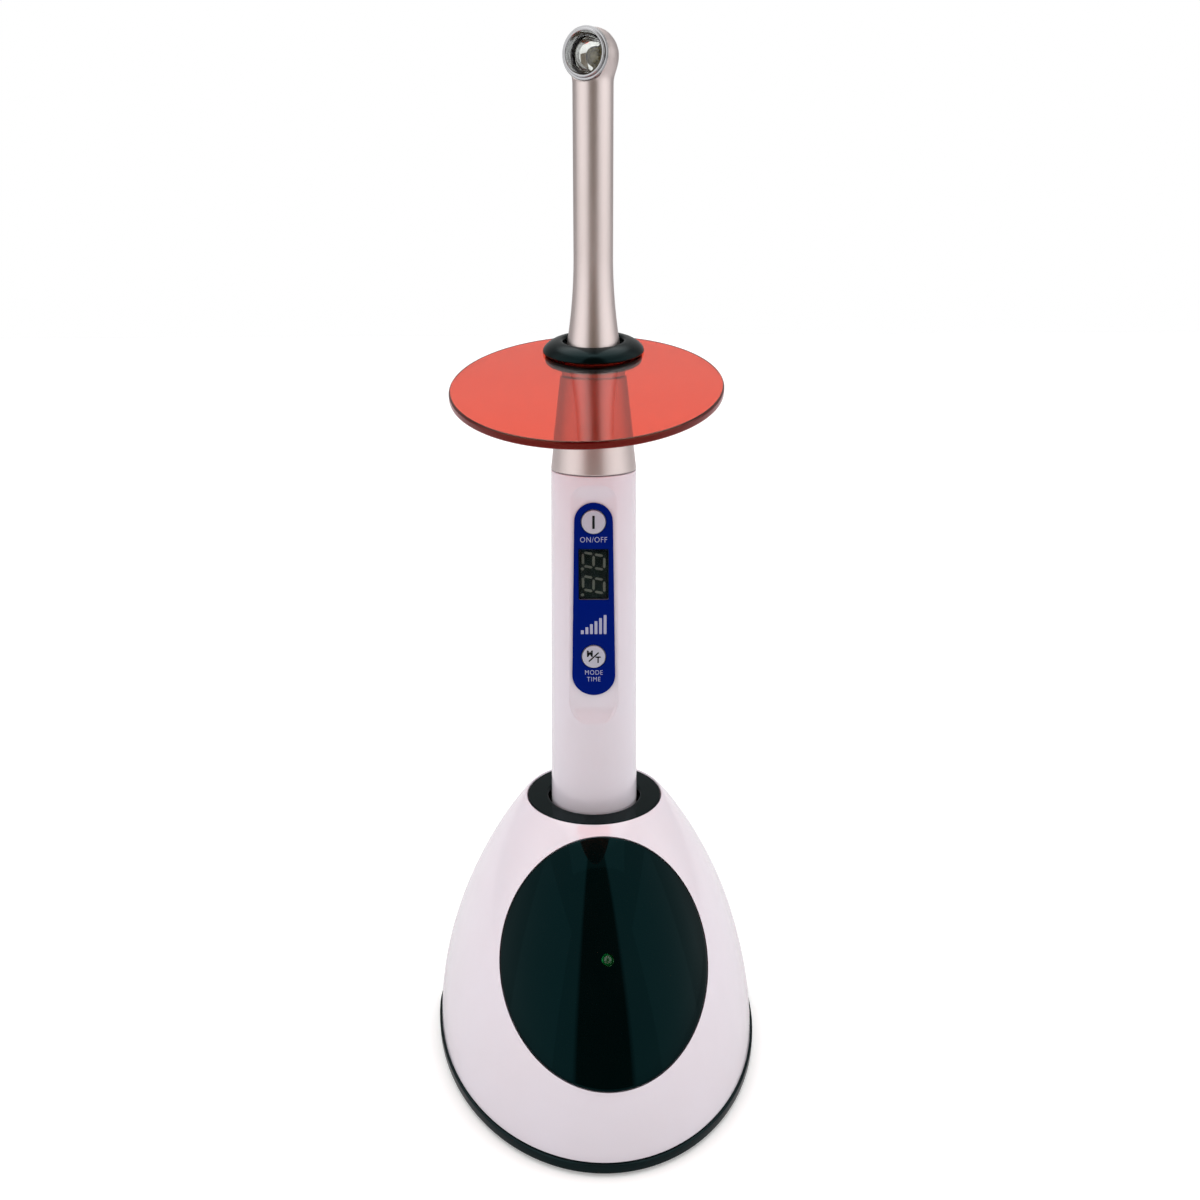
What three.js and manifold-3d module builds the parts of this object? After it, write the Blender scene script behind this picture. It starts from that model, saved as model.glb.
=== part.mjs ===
// Wireless dental curing light standing in its charging base.
// Millimetres, +Z up, the front faces -Y, the origin is the middle of the base's footprint on the table.
// Heights are from the table, and other sizes from the axis of the socket, which stands behind the origin.
import * as THREE from 'three';
import { mergeVertices } from 'three/addons/utils/BufferGeometryUtils.js';
import Module from 'manifold-3d';

const wasm = await Module();
wasm.setup();

// Fits
const gap = 0.3;
const thinGap = 0.15;
const pad = 5;
const sides = 24;

// Grip of the handpiece, which the socket and the base are made round
const grip = { tailRadius: 13.6, topRadius: 12.5, long: 145 };
const socketRadius = grip.tailRadius + 0.9;
const socketDepth = 40;

// Charging base
const baseHeight = 80;
const baseHalfWidth = 51.5;
const baseFront = 75.5;
const baseRear = 44;
const rimRadius = socketRadius + 7.5;
const rimWall = 0.6;
const swell = { rise: 1.9, round: 1.1 };
const shellWall = 3.2;
const ledgeDrop = 7;
const ledgeThick = 2;
const plate = { bottom: 1, thick: 3, lip: 0.8, rimHeight: 3, rimWide: 1.6 };
const boss = { radius: 3.5, pilot: 1.4, spots: [[38, -30], [34, 20]] };
const foot = { radius: 5, high: 2.2, spots: [[26, -50], [22, 32]] };
const screw = { head: 2.6, headHigh: 1.6, shank: 1.1, long: 11 };
const weight = { wide: 52, deep: 33, high: 12, centreY: -37, peg: 2, pegX: 18 };
const board = { wide: 50, deep: 47, thick: 1.6, bottom: 12, centreY: 9.5 };
const boardPeg = { radius: 1.2, x: 21, spots: [-10, 28] };

// Window and its lamp, both square to an axis that rises towards the front
const windowTilt = THREE.MathUtils.degToRad(32.4);
const windowStart = baseHeight * 0.25625;
const windowSize = { halfWide: 31, halfHigh: 35.1, depth: 1.7 };
const lamp = { radius: 1.5, proud: 0.5, long: 7, boardSize: 14, boardThick: 1, post: 1.6, postX: 5 };

// Socket
const cup = { wall: 1.9, floor: 3, hole: 9, flangeThick: 1.7 };
const contactBlock = { halfWide: 6, front: -5, rear: 11.5, below: 3.3 };
const chargePin = { radius: 1.1, flange: 1.6, flangeThick: 1.7, bore: 1.9, roof: 2, spots: [0, 6.5] };
const pinSpring = { radius: 1.25, wire: 0.25, turns: 6 };
const jack = { wide: 9, high: 11, deep: 12, nose: 4, noseLong: 4, sunk: 0.7 };
const jackBore = { radius: 2.75, deep: 11, pin: 1 };

// Handpiece
const handpieceTurn = THREE.MathUtils.degToRad(-4.5);
const tail = { radius: grip.tailRadius - gap, thick: 4, chamfer: 1 };
const tailSpigot = { radius: 11, high: 5.3, recess: 9.6 };
const contactRing = { outer: 7.9, inner: 5.1, thick: 1.2 };
const rivet = { radius: 2.6, flange: 3.6, flangeThick: 0.9 };
const cell = { radius: 9.2, long: grip.long - 80, clearance: 0.5, above: 13, cap: 2.8 };
const cellSpring = { radius: 4.5, wire: 0.4, turns: 3 };
const chamber = { radius: 10.7, front: 9.25, top: 6.5, ledge: 1.2, ledgeInner: 8.7 };
const pocket = { halfWide: 7.2, floor: 10.75, drop: 2, long: 74.1, ramp: 5.4 };
const label = { topHalf: 5.6, bottomHalf: 6.45, thick: 0.4, drop: 7.7, long: 59.2 };
const button = { radius: 3.45, proud: 0.45, flange: 4.2, flangeThick: 0.45 };
const buttonDrops = { power_button: 13.3, mode_button: 54.5 };
const display = { wide: 8.4, high: 15, drop: 29.1 };
const mainBoard = { halfWide: 9.3, front: 4, thick: 1.2, drop: 8, long: 56 };
const tactSwitch = { size: 6, high: 3.2, plunger: 1.7, plungerHigh: 0.7 };
const chip = { half: 3.5, thick: 1, drop: 26 };
const inductor = { radius: 3.5, thick: 4, drop: 12 };
const buzzer = { radius: 4.25, thick: 4.5, drop: 42 };

// Collar, neck and head
const collar = { topRadius: 9.5, long: 25.2, spigot: 10.4, spigotLong: 5.8, wideBore: 9, shelf: 12.2 };
const neckRadius = 5.5;
const neck = { bore: neckRadius - 1.2, waist: 9.06, spigot: 7, spigotLong: 15.8, headRise: 84.7 };
// The flare at the foot of the neck, as (share of the step from neck to waist, height above the joint).
const flare = [
  [1, 2.2], [0.77, 5.6], [0.58, 9.2], [0.45, 14], [0.31, 17.2], [0.17, 22], [0.07, 27], [0, 34],
];
const sealGroove = { depth: 0.9, wide: 1.7, rise: 2.6, drop: 5 };
const sealThick = 0.45;
const plug = { radius: 1.6, sleeve: 5, start: 5 };
const wire = { radius: 0.5, apart: 1.3 };
const clip = { inner: 6.55, outer: 8.6, thick: 1.2, groove: 6.25 };
const headTurn = THREE.MathUtils.degToRad(-24.5);
const head = { radius: neckRadius + 1.4, bore: 5.5, boreBack: 3 };
const barrel = { radius: neckRadius + 0.9, front: 4.2 };
const bezel = { radius: barrel.radius + 0.2, baseThick: 0.6, ring: 5.9, front: 5.9, lip: 5.3 };
const bezelSkirt = { outer: head.bore - gap, inner: 4.35 };
const lens = { radius: head.bore - gap, back: 1.2, flange: 1, dome: 4.2, apex: 3.1 };
const mirror = { back: -0.7, backRadius: 2.4, frontRadius: 5, wall: 0.5, mouth: 4.6 };
const emitter = { half: 1.7, back: -1.7, front: -1, dome: 1.3, flat: 0.6 };

// Shield
const shieldTilt = THREE.MathUtils.degToRad(10.3);
const shieldTurn = THREE.MathUtils.degToRad(-3);
const grommet = { radius: neckRadius + 8.9, dome: 3.4, groove: neckRadius + 5.8, mouth: neckRadius + 3 };
const grommetSkirt = { radius: neckRadius + 8.3, thick: 2.3, mouth: neckRadius + 4.8 };
const shieldLong = 46.8;
const shield = { halfWide: 35.8, offset: shieldLong - 17.8, thick: 2, hole: grommet.groove + gap, rise: 8 };

// Heights worked out from the sizes above
const ledgeTop = baseHeight - ledgeDrop + ledgeThick;
const plateTop = plate.bottom + plate.thick;
const shellBottom = plateTop + gap;
const seat = baseHeight - socketDepth;
const boardTop = board.bottom + board.thick;
const blockBottom = boardTop + gap;
const blockTop = seat - cup.floor - contactBlock.below;
const tailBottom = seat + gap;
const tailFlangeTop = tailBottom + tail.thick;
const gripBottom = tailFlangeTop + gap;
const gripTop = seat + grip.long;
const contactFace = tailBottom + 1;
const cellBottom = seat + cell.above;
const chamberBottom = cellBottom + cell.long + 1.5;
const chamberTop = gripTop - chamber.top;
const collarBottom = gripTop + gap;
const collarTop = collarBottom + collar.long;
const neckBottom = collarTop + gap;
const headCentre = neckBottom + neck.headRise;
const shieldHeight = neckBottom + shield.rise;

// shapes

function turned(points, count = sides) {
  const area = THREE.ShapeUtils.area(points.map(([r, z]) => new THREE.Vector2(r, z)));
  const ordered = area < 0 ? [...points].reverse() : points;
  const closed = ordered[0][0] > 0 || ordered.at(-1)[0] > 0 ? [...ordered, ordered[0]] : ordered;
  const profile = closed.map(([r, z]) => new THREE.Vector2(r, z));
  return new THREE.LatheGeometry(profile, count).rotateX(Math.PI / 2);
}

function disc(radius, bottom, top, count = sides) {
  return turned([[0, bottom], [radius, bottom], [radius, top], [0, top]], count);
}

function discsAt(spots, radius, bottom, top, count = 16) {
  return spots.map(([x, y]) => disc(radius, bottom, top, count).translate(x, y, 0));
}

function tube(outer, inner, bottom, top, count = sides) {
  return turned([[inner, bottom], [outer, bottom], [outer, top], [inner, top]], count);
}

function box(x0, x1, y0, y1, z0, z1) {
  const shape = new THREE.BoxGeometry(x1 - x0, y1 - y0, z1 - z0);
  return shape.translate((x0 + x1) / 2, (y0 + y1) / 2, (z0 + z1) / 2);
}

function raised(shape, bottom, top, curveSegments = 8) {
  return new THREE.ExtrudeGeometry(shape, { depth: top - bottom, bevelEnabled: false, curveSegments })
    .translate(0, 0, bottom);
}

// An outline drawn in X and Z, standing between two depths in Y.
function facing(shape, front, back) {
  return raised(shape, 0, back - front).rotateX(Math.PI / 2).translate(0, back, 0);
}

function polygon(points) {
  return new THREE.Shape(points.map(([x, y]) => new THREE.Vector2(x, y)));
}

function stadium(topHalf, bottomHalf, bottom, top) {
  const shape = new THREE.Shape();
  shape.absarc(0, top - topHalf, topHalf, 0, Math.PI);
  shape.absarc(0, bottom + bottomHalf, bottomHalf, Math.PI, 2 * Math.PI);
  shape.closePath();
  return shape;
}

class Helix extends THREE.Curve {
  constructor(radius, bottom, top, turns) {
    super();
    Object.assign(this, { radius, bottom, top, turns });
  }

  getPoint(t, target = new THREE.Vector3()) {
    const angle = 2 * Math.PI * this.turns * t;
    const height = THREE.MathUtils.lerp(this.bottom, this.top, t);
    return target.set(this.radius * Math.cos(angle), this.radius * Math.sin(angle), height);
  }
}

function rod(curve, radius, steps, count = 6) {
  const section = new THREE.Shape();
  for (let i = 0; i < count; i += 1) {
    const angle = (2 * Math.PI * i) / count;
    const point = [radius * Math.cos(angle), radius * Math.sin(angle)];
    if (i === 0) section.moveTo(...point);
    else section.lineTo(...point);
  }
  return new THREE.ExtrudeGeometry(section, { steps, extrudePath: curve, bevelEnabled: false });
}

// booleans

function solid(shape) {
  const plain = shape.clone();
  plain.deleteAttribute('normal');
  plain.deleteAttribute('uv');
  const merged = mergeVertices(plain, 1e-4);
  const corners = merged.index.array;
  const kept = [];
  for (let i = 0; i < corners.length; i += 3) {
    const [a, b, c] = corners.slice(i, i + 3);
    if (a !== b && b !== c && c !== a) kept.push(a, b, c);
  }
  return new wasm.Manifold(new wasm.Mesh({
    numProp: 3,
    vertProperties: new Float32Array(merged.attributes.position.array),
    triVerts: new Uint32Array(kept),
  }));
}

function geometryOf(manifold) {
  const mesh = manifold.getMesh();
  const shape = new THREE.BufferGeometry();
  shape.setAttribute('position', new THREE.BufferAttribute(new Float32Array(mesh.vertProperties), 3));
  shape.setIndex(new THREE.BufferAttribute(new Uint32Array(mesh.triVerts), 1));
  shape.computeVertexNormals();
  return shape;
}

function cut(shape, ...tools) {
  return geometryOf(tools.reduce((left, tool) => left.subtract(solid(tool)), solid(shape)));
}

function join(shape, ...others) {
  return geometryOf(others.reduce((left, other) => left.add(solid(other)), solid(shape)));
}

function common(shape, ...others) {
  return geometryOf(others.reduce((left, other) => left.intersect(solid(other)), solid(shape)));
}

// materials

const finishes = {
  whitePlastic: { color: 0xece7ee, roughness: 0.18, metalness: 0 },
  blackGloss: { color: 0x0b0d0f, roughness: 0.08, metalness: 0 },
  blackPlastic: { color: 0x1a1b1d, roughness: 0.5, metalness: 0 },
  rubber: { color: 0x141414, roughness: 0.6, metalness: 0 },
  roseMetal: { color: 0xb9a59c, roughness: 0.35, metalness: 1 },
  chrome: { color: 0xd8d9dc, roughness: 0.06, metalness: 1 },
  steel: { color: 0x9b9da0, roughness: 0.35, metalness: 1 },
  brass: { color: 0xc8a24a, roughness: 0.3, metalness: 1 },
  circuit: { color: 0x1d5a34, roughness: 0.5, metalness: 0 },
  blueLabel: { color: 0x12227c, roughness: 0.35, metalness: 0 },
  greyButton: { color: 0xc3c0c8, roughness: 0.4, metalness: 0 },
  orangeAcrylic: { color: 0xd23a1c, roughness: 0.05, metalness: 0, transparent: true, opacity: 0.7 },
  glass: { color: 0xe6eef0, roughness: 0.02, metalness: 0, transparent: true, opacity: 0.35 },
  smokedGlass: { color: 0x10201c, roughness: 0.05, metalness: 0 },
  greenLamp: { color: 0x14a04a, roughness: 0.2, metalness: 0 },
  cellWrap: { color: 0x2a6fa8, roughness: 0.4, metalness: 0 },
  redWire: { color: 0xb02020, roughness: 0.5, metalness: 0 },
};

function piece(parent, name, shape, finish) {
  const mesh = new THREE.Mesh(shape, new THREE.MeshStandardMaterial(finishes[finish]));
  mesh.name = name;
  parent.add(mesh);
  return mesh;
}

// charging base

const part = new THREE.Group();
const onSocket = new THREE.Group();
const base = new THREE.Group();
part.add(onSocket);
onSocket.add(base);

// How far the shell reaches from the socket axis at a height.
function reach(extent, z) {
  const swelling = (1 - (z / baseHeight) ** swell.rise) ** (1 / swell.round);
  return rimRadius + (extent - rimRadius) * swelling;
}

onSocket.position.y = (reach(baseFront, shellBottom) - reach(baseRear, shellBottom)) / 2;

// The shell's plan at a height: half an ellipse in front of the socket axis, a shorter half behind it.
function planAt(z, inset, count = 40) {
  const across = reach(baseHalfWidth, z) - inset;
  const front = reach(baseFront, z) - inset;
  const rear = reach(baseRear, z) - inset;
  return Array.from({ length: count }, (_, i) => {
    const angle = (2 * Math.PI * i) / count;
    const along = Math.sin(angle) < 0 ? front : rear;
    return [across * Math.cos(angle), along * Math.sin(angle)];
  });
}

function shellBody(inset, bottom, top, levels = 8) {
  const rings = Array.from({ length: levels + 1 }, (_, k) => bottom + ((top - bottom) * k) / levels);
  const positions = [];
  rings.forEach((z) => planAt(Math.max(z, 0), inset).forEach(([x, y]) => positions.push(x, y, z)));
  const count = positions.length / 3 / rings.length;
  const faces = [];
  for (let k = 0; k < levels; k += 1) {
    for (let i = 0; i < count; i += 1) {
      const a = k * count + i;
      const b = k * count + ((i + 1) % count);
      faces.push(a, b, b + count, a, b + count, a + count);
    }
  }
  for (let i = 1; i < count - 1; i += 1) {
    faces.push(0, i + 1, i);
    faces.push(levels * count, levels * count + i, levels * count + i + 1);
  }
  const shape = new THREE.BufferGeometry();
  shape.setAttribute('position', new THREE.Float32BufferAttribute(positions, 3));
  shape.setIndex(faces);
  return shape;
}

// Moves a shape made along +Z onto the window's axis.
function alongWindow(shape) {
  return shape.rotateX(Math.PI / 2 - windowTilt).translate(0, 0, windowStart);
}

function windowPrism(halfWide, halfHigh) {
  const oval = new THREE.Shape();
  oval.absellipse(0, 0, halfWide, halfHigh, 0, 2 * Math.PI);
  const start = baseFront * 0.4;
  return alongWindow(raised(oval, start, start + baseFront, 16));
}

const mirrored = (spots) => spots.flatMap(([x, y]) => [[-x, y], [x, y]]);
const screwSpots = mirrored(boss.spots);
const footSpots = mirrored(foot.spots);
const boardPegSpots = mirrored(boardPeg.spots.map((y) => [boardPeg.x, y]));
const weightPegSpots = mirrored([[weight.pegX, weight.centreY]]);
const shellBody0 = shellBody(0, shellBottom, baseHeight);
const jackHeight = blockBottom + jack.high / 2;
const jackFace = reach(baseRear, jackHeight) - jack.sunk;

// How far along the window's axis the shell's surface lies.
function surfaceOnAxis() {
  let inside = 0;
  let outside = baseFront;
  for (let i = 0; i < 20; i += 1) {
    const middle = (inside + outside) / 2;
    const height = windowStart + middle * Math.sin(windowTilt);
    const within = height < baseHeight && middle * Math.cos(windowTilt) < reach(baseFront, height);
    if (within) inside = middle;
    else outside = middle;
  }
  return inside;
}

const lampTip = surfaceOnAxis() + lamp.proud;
const lampHole = alongWindow(disc(lamp.radius + gap, lampTip - 25, lampTip + 25, 20));
const lampBack = lampTip - lamp.long;
const lampBoardFront = lampBack - gap;

function baseShell() {
  const hollow = shellBody(shellWall, shellBottom - pad, baseHeight - ledgeDrop);
  const behindWindow = shellBody(windowSize.depth + gap, 0, baseHeight);
  const recess = cut(windowPrism(windowSize.halfWide, windowSize.halfHigh), behindWindow);
  const bosses = discsAt(screwSpots, boss.radius, shellBottom, baseHeight);
  const posts = discsAt([[-lamp.postX, 0], [lamp.postX, 0]], lamp.post, lampBoardFront + gap, lampTip, 12)
    .map(alongWindow);
  const bodyInside = shellBody(shellWall - 0.5, shellBottom, baseHeight);
  const inside = common(join(bosses[0], ...bosses.slice(1), ...posts), bodyInside);
  const pilots = discsAt(screwSpots, boss.pilot, shellBottom - pad, shellBottom + screw.long);
  const jackHole = disc(jack.nose + gap, 0, baseRear, 24).rotateX(-Math.PI / 2).translate(0, 20, jackHeight);
  const rimBore = disc(rimRadius - rimWall, ledgeTop, baseHeight + pad, 40);
  const cupBore = disc(socketRadius + cup.wall + gap, ledgeTop - pad, ledgeTop + pad, 32);
  const skin = cut(shellBody0, hollow, recess);
  return cut(join(skin, inside), rimBore, cupBore, jackHole, lampHole, ...pilots);
}

function frontWindow() {
  const prism = windowPrism(windowSize.halfWide - gap, windowSize.halfHigh - gap);
  return cut(common(shellBody0, prism), shellBody(windowSize.depth, 0, baseHeight), lampHole);
}

function bottomPlate() {
  const slab = raised(polygon(planAt(shellBottom, -plate.lip)), plate.bottom, plateTop);
  const rimOuter = shellWall + gap;
  const rimBottom = plateTop - plate.thick / 2;
  const rimTop = plateTop + plate.rimHeight;
  const rimSolid = raised(polygon(planAt(rimTop, rimOuter)), rimBottom, rimTop);
  const rimInner = raised(polygon(planAt(rimTop, rimOuter + plate.rimWide)), rimBottom - pad, rimTop + pad);
  const rim = cut(rimSolid, rimInner);
  const standoffs = discsAt(boardPegSpots, boardPeg.radius * 2, rimBottom, board.bottom - gap);
  const boardPegs = discsAt(boardPegSpots, boardPeg.radius, rimBottom, boardTop + 1, 12);
  const weightPegs = discsAt(weightPegSpots, weight.peg, rimBottom, plateTop + weight.high + 1, 12);
  const wells = [
    ...discsAt(footSpots, foot.radius + gap, plate.bottom - pad, foot.high + gap, 24),
    ...discsAt(screwSpots, screw.head + gap, 0, plate.bottom + screw.headHigh + 2 * gap, 20),
    ...discsAt(screwSpots, boss.radius + gap, plateTop, baseHeight),
    ...discsAt(screwSpots, boss.pilot, 0, shellBottom + pad),
  ];
  return cut(join(slab, rim, ...standoffs, ...boardPegs, ...weightPegs), ...wells);
}

function socketCup() {
  const outer = socketRadius + cup.wall;
  const flange = rimRadius - rimWall - gap;
  const flangeBottom = ledgeTop + gap;
  const flangeTop = flangeBottom + cup.flangeThick;
  return turned([
    [cup.hole, seat - cup.floor], [outer, seat - cup.floor], [outer, flangeBottom], [flange, flangeBottom],
    [flange, flangeTop], [socketRadius, flangeTop], [socketRadius, seat], [cup.hole, seat],
  ], 32);
}

function contactBlockShape() {
  const half = contactBlock.halfWide;
  const block = box(-half, half, contactBlock.front, contactBlock.rear, blockBottom, blockTop);
  const bores = chargePin.spots.flatMap((y) => [
    disc(chargePin.bore, blockBottom - pad, blockTop - chargePin.roof, 16).translate(0, y, 0),
    disc(chargePin.radius + gap, blockTop - pad, blockTop + pad, 16).translate(0, y, 0),
  ]);
  return cut(block, ...bores);
}

function chargerBoard() {
  const half = board.wide / 2;
  const front = board.centreY - board.deep / 2;
  const slab = box(-half, half, front, front + board.deep, board.bottom, boardTop);
  return cut(slab, ...discsAt(boardPegSpots, boardPeg.radius + gap, board.bottom - pad, boardTop + pad, 12));
}

function ballast() {
  const half = weight.wide / 2;
  const front = weight.centreY - weight.deep / 2;
  const bottom = plateTop + gap;
  const slab = box(-half, half, front, front + weight.deep, bottom, bottom + weight.high);
  return cut(slab, ...discsAt(weightPegSpots, weight.peg + gap, 0, bottom + weight.high + pad));
}

function powerInlet() {
  const bodyRear = jackFace - jack.noseLong;
  const half = jack.wide / 2;
  const body = box(-half, half, bodyRear - jack.deep, bodyRear, blockBottom, blockBottom + jack.high);
  const onAxis = (shape) => shape.rotateX(-Math.PI / 2).translate(0, jackFace, jackHeight);
  const nose = onAxis(disc(jack.nose, -jack.noseLong - 1, 0, 28));
  const hole = onAxis(disc(jackBore.radius, -jackBore.deep, pad, 24));
  const pin = onAxis(turned([
    [0, -jackBore.deep - 1], [jackBore.pin, -jackBore.deep - 1], [jackBore.pin, -1.5],
    [jackBore.pin * 0.6, -1], [0, -1],
  ], 16));
  return join(cut(join(body, nose), hole), pin);
}

function indicatorLamp() {
  const dome = [];
  const steps = 5;
  for (let i = 0; i <= steps; i += 1) {
    const angle = (Math.PI / 2) * (i / steps);
    dome.push([lamp.radius * Math.cos(angle), lampTip - lamp.radius + lamp.radius * Math.sin(angle)]);
  }
  dome[steps][0] = 0;
  return alongWindow(turned([[0, lampBack], [lamp.radius, lampBack], ...dome], 16));
}

piece(base, 'base_shell', baseShell(), 'whitePlastic');
piece(base, 'front_window', frontWindow(), 'blackGloss');
piece(base, 'bottom_plate', bottomPlate(), 'blackPlastic');
piece(base, 'socket_cup', socketCup(), 'blackPlastic');
const ringBottom = ledgeTop + 2 * gap + cup.flangeThick;
const socketRing = tube(rimRadius - rimWall - gap, socketRadius, ringBottom, baseHeight, 40);
piece(base, 'socket_ring', socketRing, 'blackGloss');
piece(base, 'charger_board', chargerBoard(), 'circuit');
piece(base, 'contact_block', contactBlockShape(), 'blackPlastic');
piece(base, 'power_inlet', powerInlet(), 'blackPlastic');
piece(base, 'ballast_weight', ballast(), 'steel');
piece(base, 'indicator_lamp', indicatorLamp(), 'greenLamp');
const lampBoardHalf = lamp.boardSize / 2;
piece(base, 'indicator_board', alongWindow(box(-lampBoardHalf, lampBoardHalf, -lampBoardHalf, lampBoardHalf,
  lampBoardFront - lamp.boardThick, lampBoardFront)), 'circuit');

footSpots.forEach(([x, y], i) => {
  piece(base, `rubber_foot_${i + 1}`, disc(foot.radius, 0, foot.high, 24), 'rubber').position.set(x, y, 0);
});

screwSpots.forEach(([x, y], i) => {
  const top = plate.bottom + gap + screw.headHigh;
  const shape = turned([[0, plate.bottom + gap], [screw.head, plate.bottom + gap], [screw.head, top],
    [screw.shank, top], [screw.shank, top + screw.long - 2], [0, top + screw.long - 1]], 16);
  piece(base, `base_screw_${i + 1}`, shape, 'steel').position.set(x, y, 0);
});

chargePin.spots.forEach((y, i) => {
  const tip = contactFace - gap;
  const flangeTop = blockTop - chargePin.roof - gap;
  const flangeBottom = flangeTop - chargePin.flangeThick;
  const shape = turned([
    [0, flangeBottom], [chargePin.flange, flangeBottom], [chargePin.flange, flangeTop],
    [chargePin.radius, flangeTop], [chargePin.radius, tip - 0.6], [chargePin.radius * 0.6, tip], [0, tip],
  ], 16);
  piece(base, `charge_pin_${i + 1}`, shape, 'brass').position.y = y;
  const coil = new Helix(pinSpring.radius, boardTop + 3 * gap, flangeBottom - 2 * gap, pinSpring.turns);
  piece(base, `pin_spring_${i + 1}`, rod(coil, pinSpring.wire, 40, 4), 'steel').position.y = y;
});

// handpiece

const handpiece = new THREE.Group();
handpiece.rotation.z = handpieceTurn;
onSocket.add(handpiece);

function gripRadius(z) {
  const t = THREE.MathUtils.clamp((z - baseHeight) / (gripTop - baseHeight), 0, 1);
  return THREE.MathUtils.lerp(grip.tailRadius, grip.topRadius, t);
}

const boltHole = (radius, z, front, back, count = 24) => disc(radius, 0, back - front, count)
  .rotateX(Math.PI / 2).translate(0, back, z);

const displayCentre = gripTop - display.drop;

function displayOpening(front, back, clearance) {
  const half = display.wide / 2 + clearance;
  const tall = display.high / 2 + clearance;
  return box(-half, half, front, back, displayCentre - tall, displayCentre + tall);
}

function pocketTool() {
  const top = gripTop - pocket.drop;
  const bottom = top - pocket.long;
  const outside = grip.tailRadius + pad;
  // The floor seen from the side, with a ramp at each end, drawn as (height, depth).
  const side = polygon([
    [bottom, -outside], [bottom, -gripRadius(bottom)], [bottom + pocket.ramp, -pocket.floor],
    [top - pocket.ramp, -pocket.floor], [top, -gripRadius(top)], [top, -outside],
  ]);
  const across = raised(side, -pocket.halfWide - 1, pocket.halfWide + 1).rotateY(-Math.PI / 2);
  return common(across, facing(stadium(pocket.halfWide, pocket.halfWide, bottom, top), -outside - pad, 0));
}

function handleShell() {
  const outer = turned([[0, gripBottom], [grip.tailRadius, gripBottom], [grip.tailRadius, baseHeight],
    [grip.topRadius, gripTop], [0, gripTop]], 32);
  const tailBore = disc(tailSpigot.radius + gap, gripBottom - pad, tailFlangeTop + tailSpigot.high + 1);
  const cellBore = disc(cell.radius + cell.clearance, gripBottom, chamberBottom + 1, sides);
  const slab = box(-grip.tailRadius, grip.tailRadius, -chamber.front, grip.tailRadius, 0, gripTop + pad);
  const boardChamber = common(disc(chamber.radius, chamberBottom, chamberTop, sides), slab);
  const topBore = disc(chamber.radius, chamberTop - 1, gripTop + pad, sides);
  const back = -chamber.front + 1;
  const holes = Object.values(buttonDrops)
    .map((drop) => boltHole(button.radius + gap, gripTop - drop, -pocket.floor - pad, back));
  const ledgeFront = -mainBoard.front + mainBoard.thick + gap;
  const ledges = [-1, 1].map((side) => box(
    Math.min(side * chamber.ledgeInner, side * (chamber.radius + 0.5)),
    Math.max(side * chamber.ledgeInner, side * (chamber.radius + 0.5)),
    ledgeFront, ledgeFront + chamber.ledge, chamberBottom - 1, chamberTop - 2));
  const tubeBody = cut(outer, tailBore, cellBore, boardChamber, topBore, pocketTool());
  return cut(join(tubeBody, ...ledges), displayOpening(-pocket.floor - pad, back, gap), ...holes);
}

const labelBack = -pocket.floor - thinGap;
const labelFront = labelBack - label.thick;

function labelPanel() {
  const top = gripTop - label.drop;
  const outline = stadium(label.topHalf, label.bottomHalf, top - label.long, top);
  const sheet = facing(outline, labelFront, labelBack);
  const holes = Object.values(buttonDrops)
    .map((drop) => boltHole(button.radius + gap, gripTop - drop, labelFront - 1, labelBack + 1));
  return cut(sheet, displayOpening(labelFront - 1, labelBack + 1, gap), ...holes);
}

const switchFront = -mainBoard.front - gap - tactSwitch.high;
const plungerTip = switchFront - tactSwitch.plungerHigh;

function buttonCap() {
  const flangeBack = plungerTip - gap;
  const flangeFront = flangeBack - button.flangeThick;
  const face = -labelFront + button.proud;
  return turned([[0, -flangeBack], [button.flange, -flangeBack], [button.flange, -flangeFront],
    [button.radius, -flangeFront], [button.radius, face - 0.2], [button.radius - 0.3, face], [0, face]], 20)
    .rotateX(Math.PI / 2);
}

function tactSwitchShape() {
  const half = tactSwitch.size / 2;
  const body = box(-half, half, switchFront, -mainBoard.front - gap, -half, half);
  return join(body, boltHole(tactSwitch.plunger, 0, plungerTip, switchFront + 1, 16));
}

piece(handpiece, 'handle_shell', handleShell(), 'whitePlastic');
piece(handpiece, 'label_panel', labelPanel(), 'blueLabel');
piece(handpiece, 'display_window', displayOpening(labelFront, -pocket.floor, 0), 'smokedGlass');
const moduleShape = displayOpening(-pocket.floor + gap, -mainBoard.front - gap, 0);
piece(handpiece, 'display_module', moduleShape, 'blackPlastic');

Object.entries(buttonDrops).forEach(([name, drop]) => {
  piece(handpiece, name, buttonCap(), 'greyButton').position.z = gripTop - drop;
  const switchName = name.replace('button', 'switch');
  piece(handpiece, switchName, tactSwitchShape(), 'blackPlastic').position.z = gripTop - drop;
});

const mainBoardTop = gripTop - mainBoard.drop;
const mainBoardBottom = mainBoardTop - mainBoard.long;
const mainBoardBack = -mainBoard.front + mainBoard.thick;
const partsFront = mainBoardBack + gap;
piece(handpiece, 'main_board', box(-mainBoard.halfWide, mainBoard.halfWide, -mainBoard.front, mainBoardBack,
  mainBoardBottom, mainBoardTop), 'circuit');
const chipShape = box(-chip.half, chip.half, partsFront, partsFront + chip.thick, -chip.half, chip.half);
piece(handpiece, 'control_chip', chipShape, 'blackPlastic').position.z = mainBoardTop - chip.drop;
const inductorShape = boltHole(inductor.radius, 0, partsFront, partsFront + inductor.thick);
piece(handpiece, 'driver_inductor', inductorShape, 'blackPlastic').position.z = mainBoardTop - inductor.drop;
const buzzerShape = boltHole(buzzer.radius, 0, partsFront, partsFront + buzzer.thick);
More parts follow.
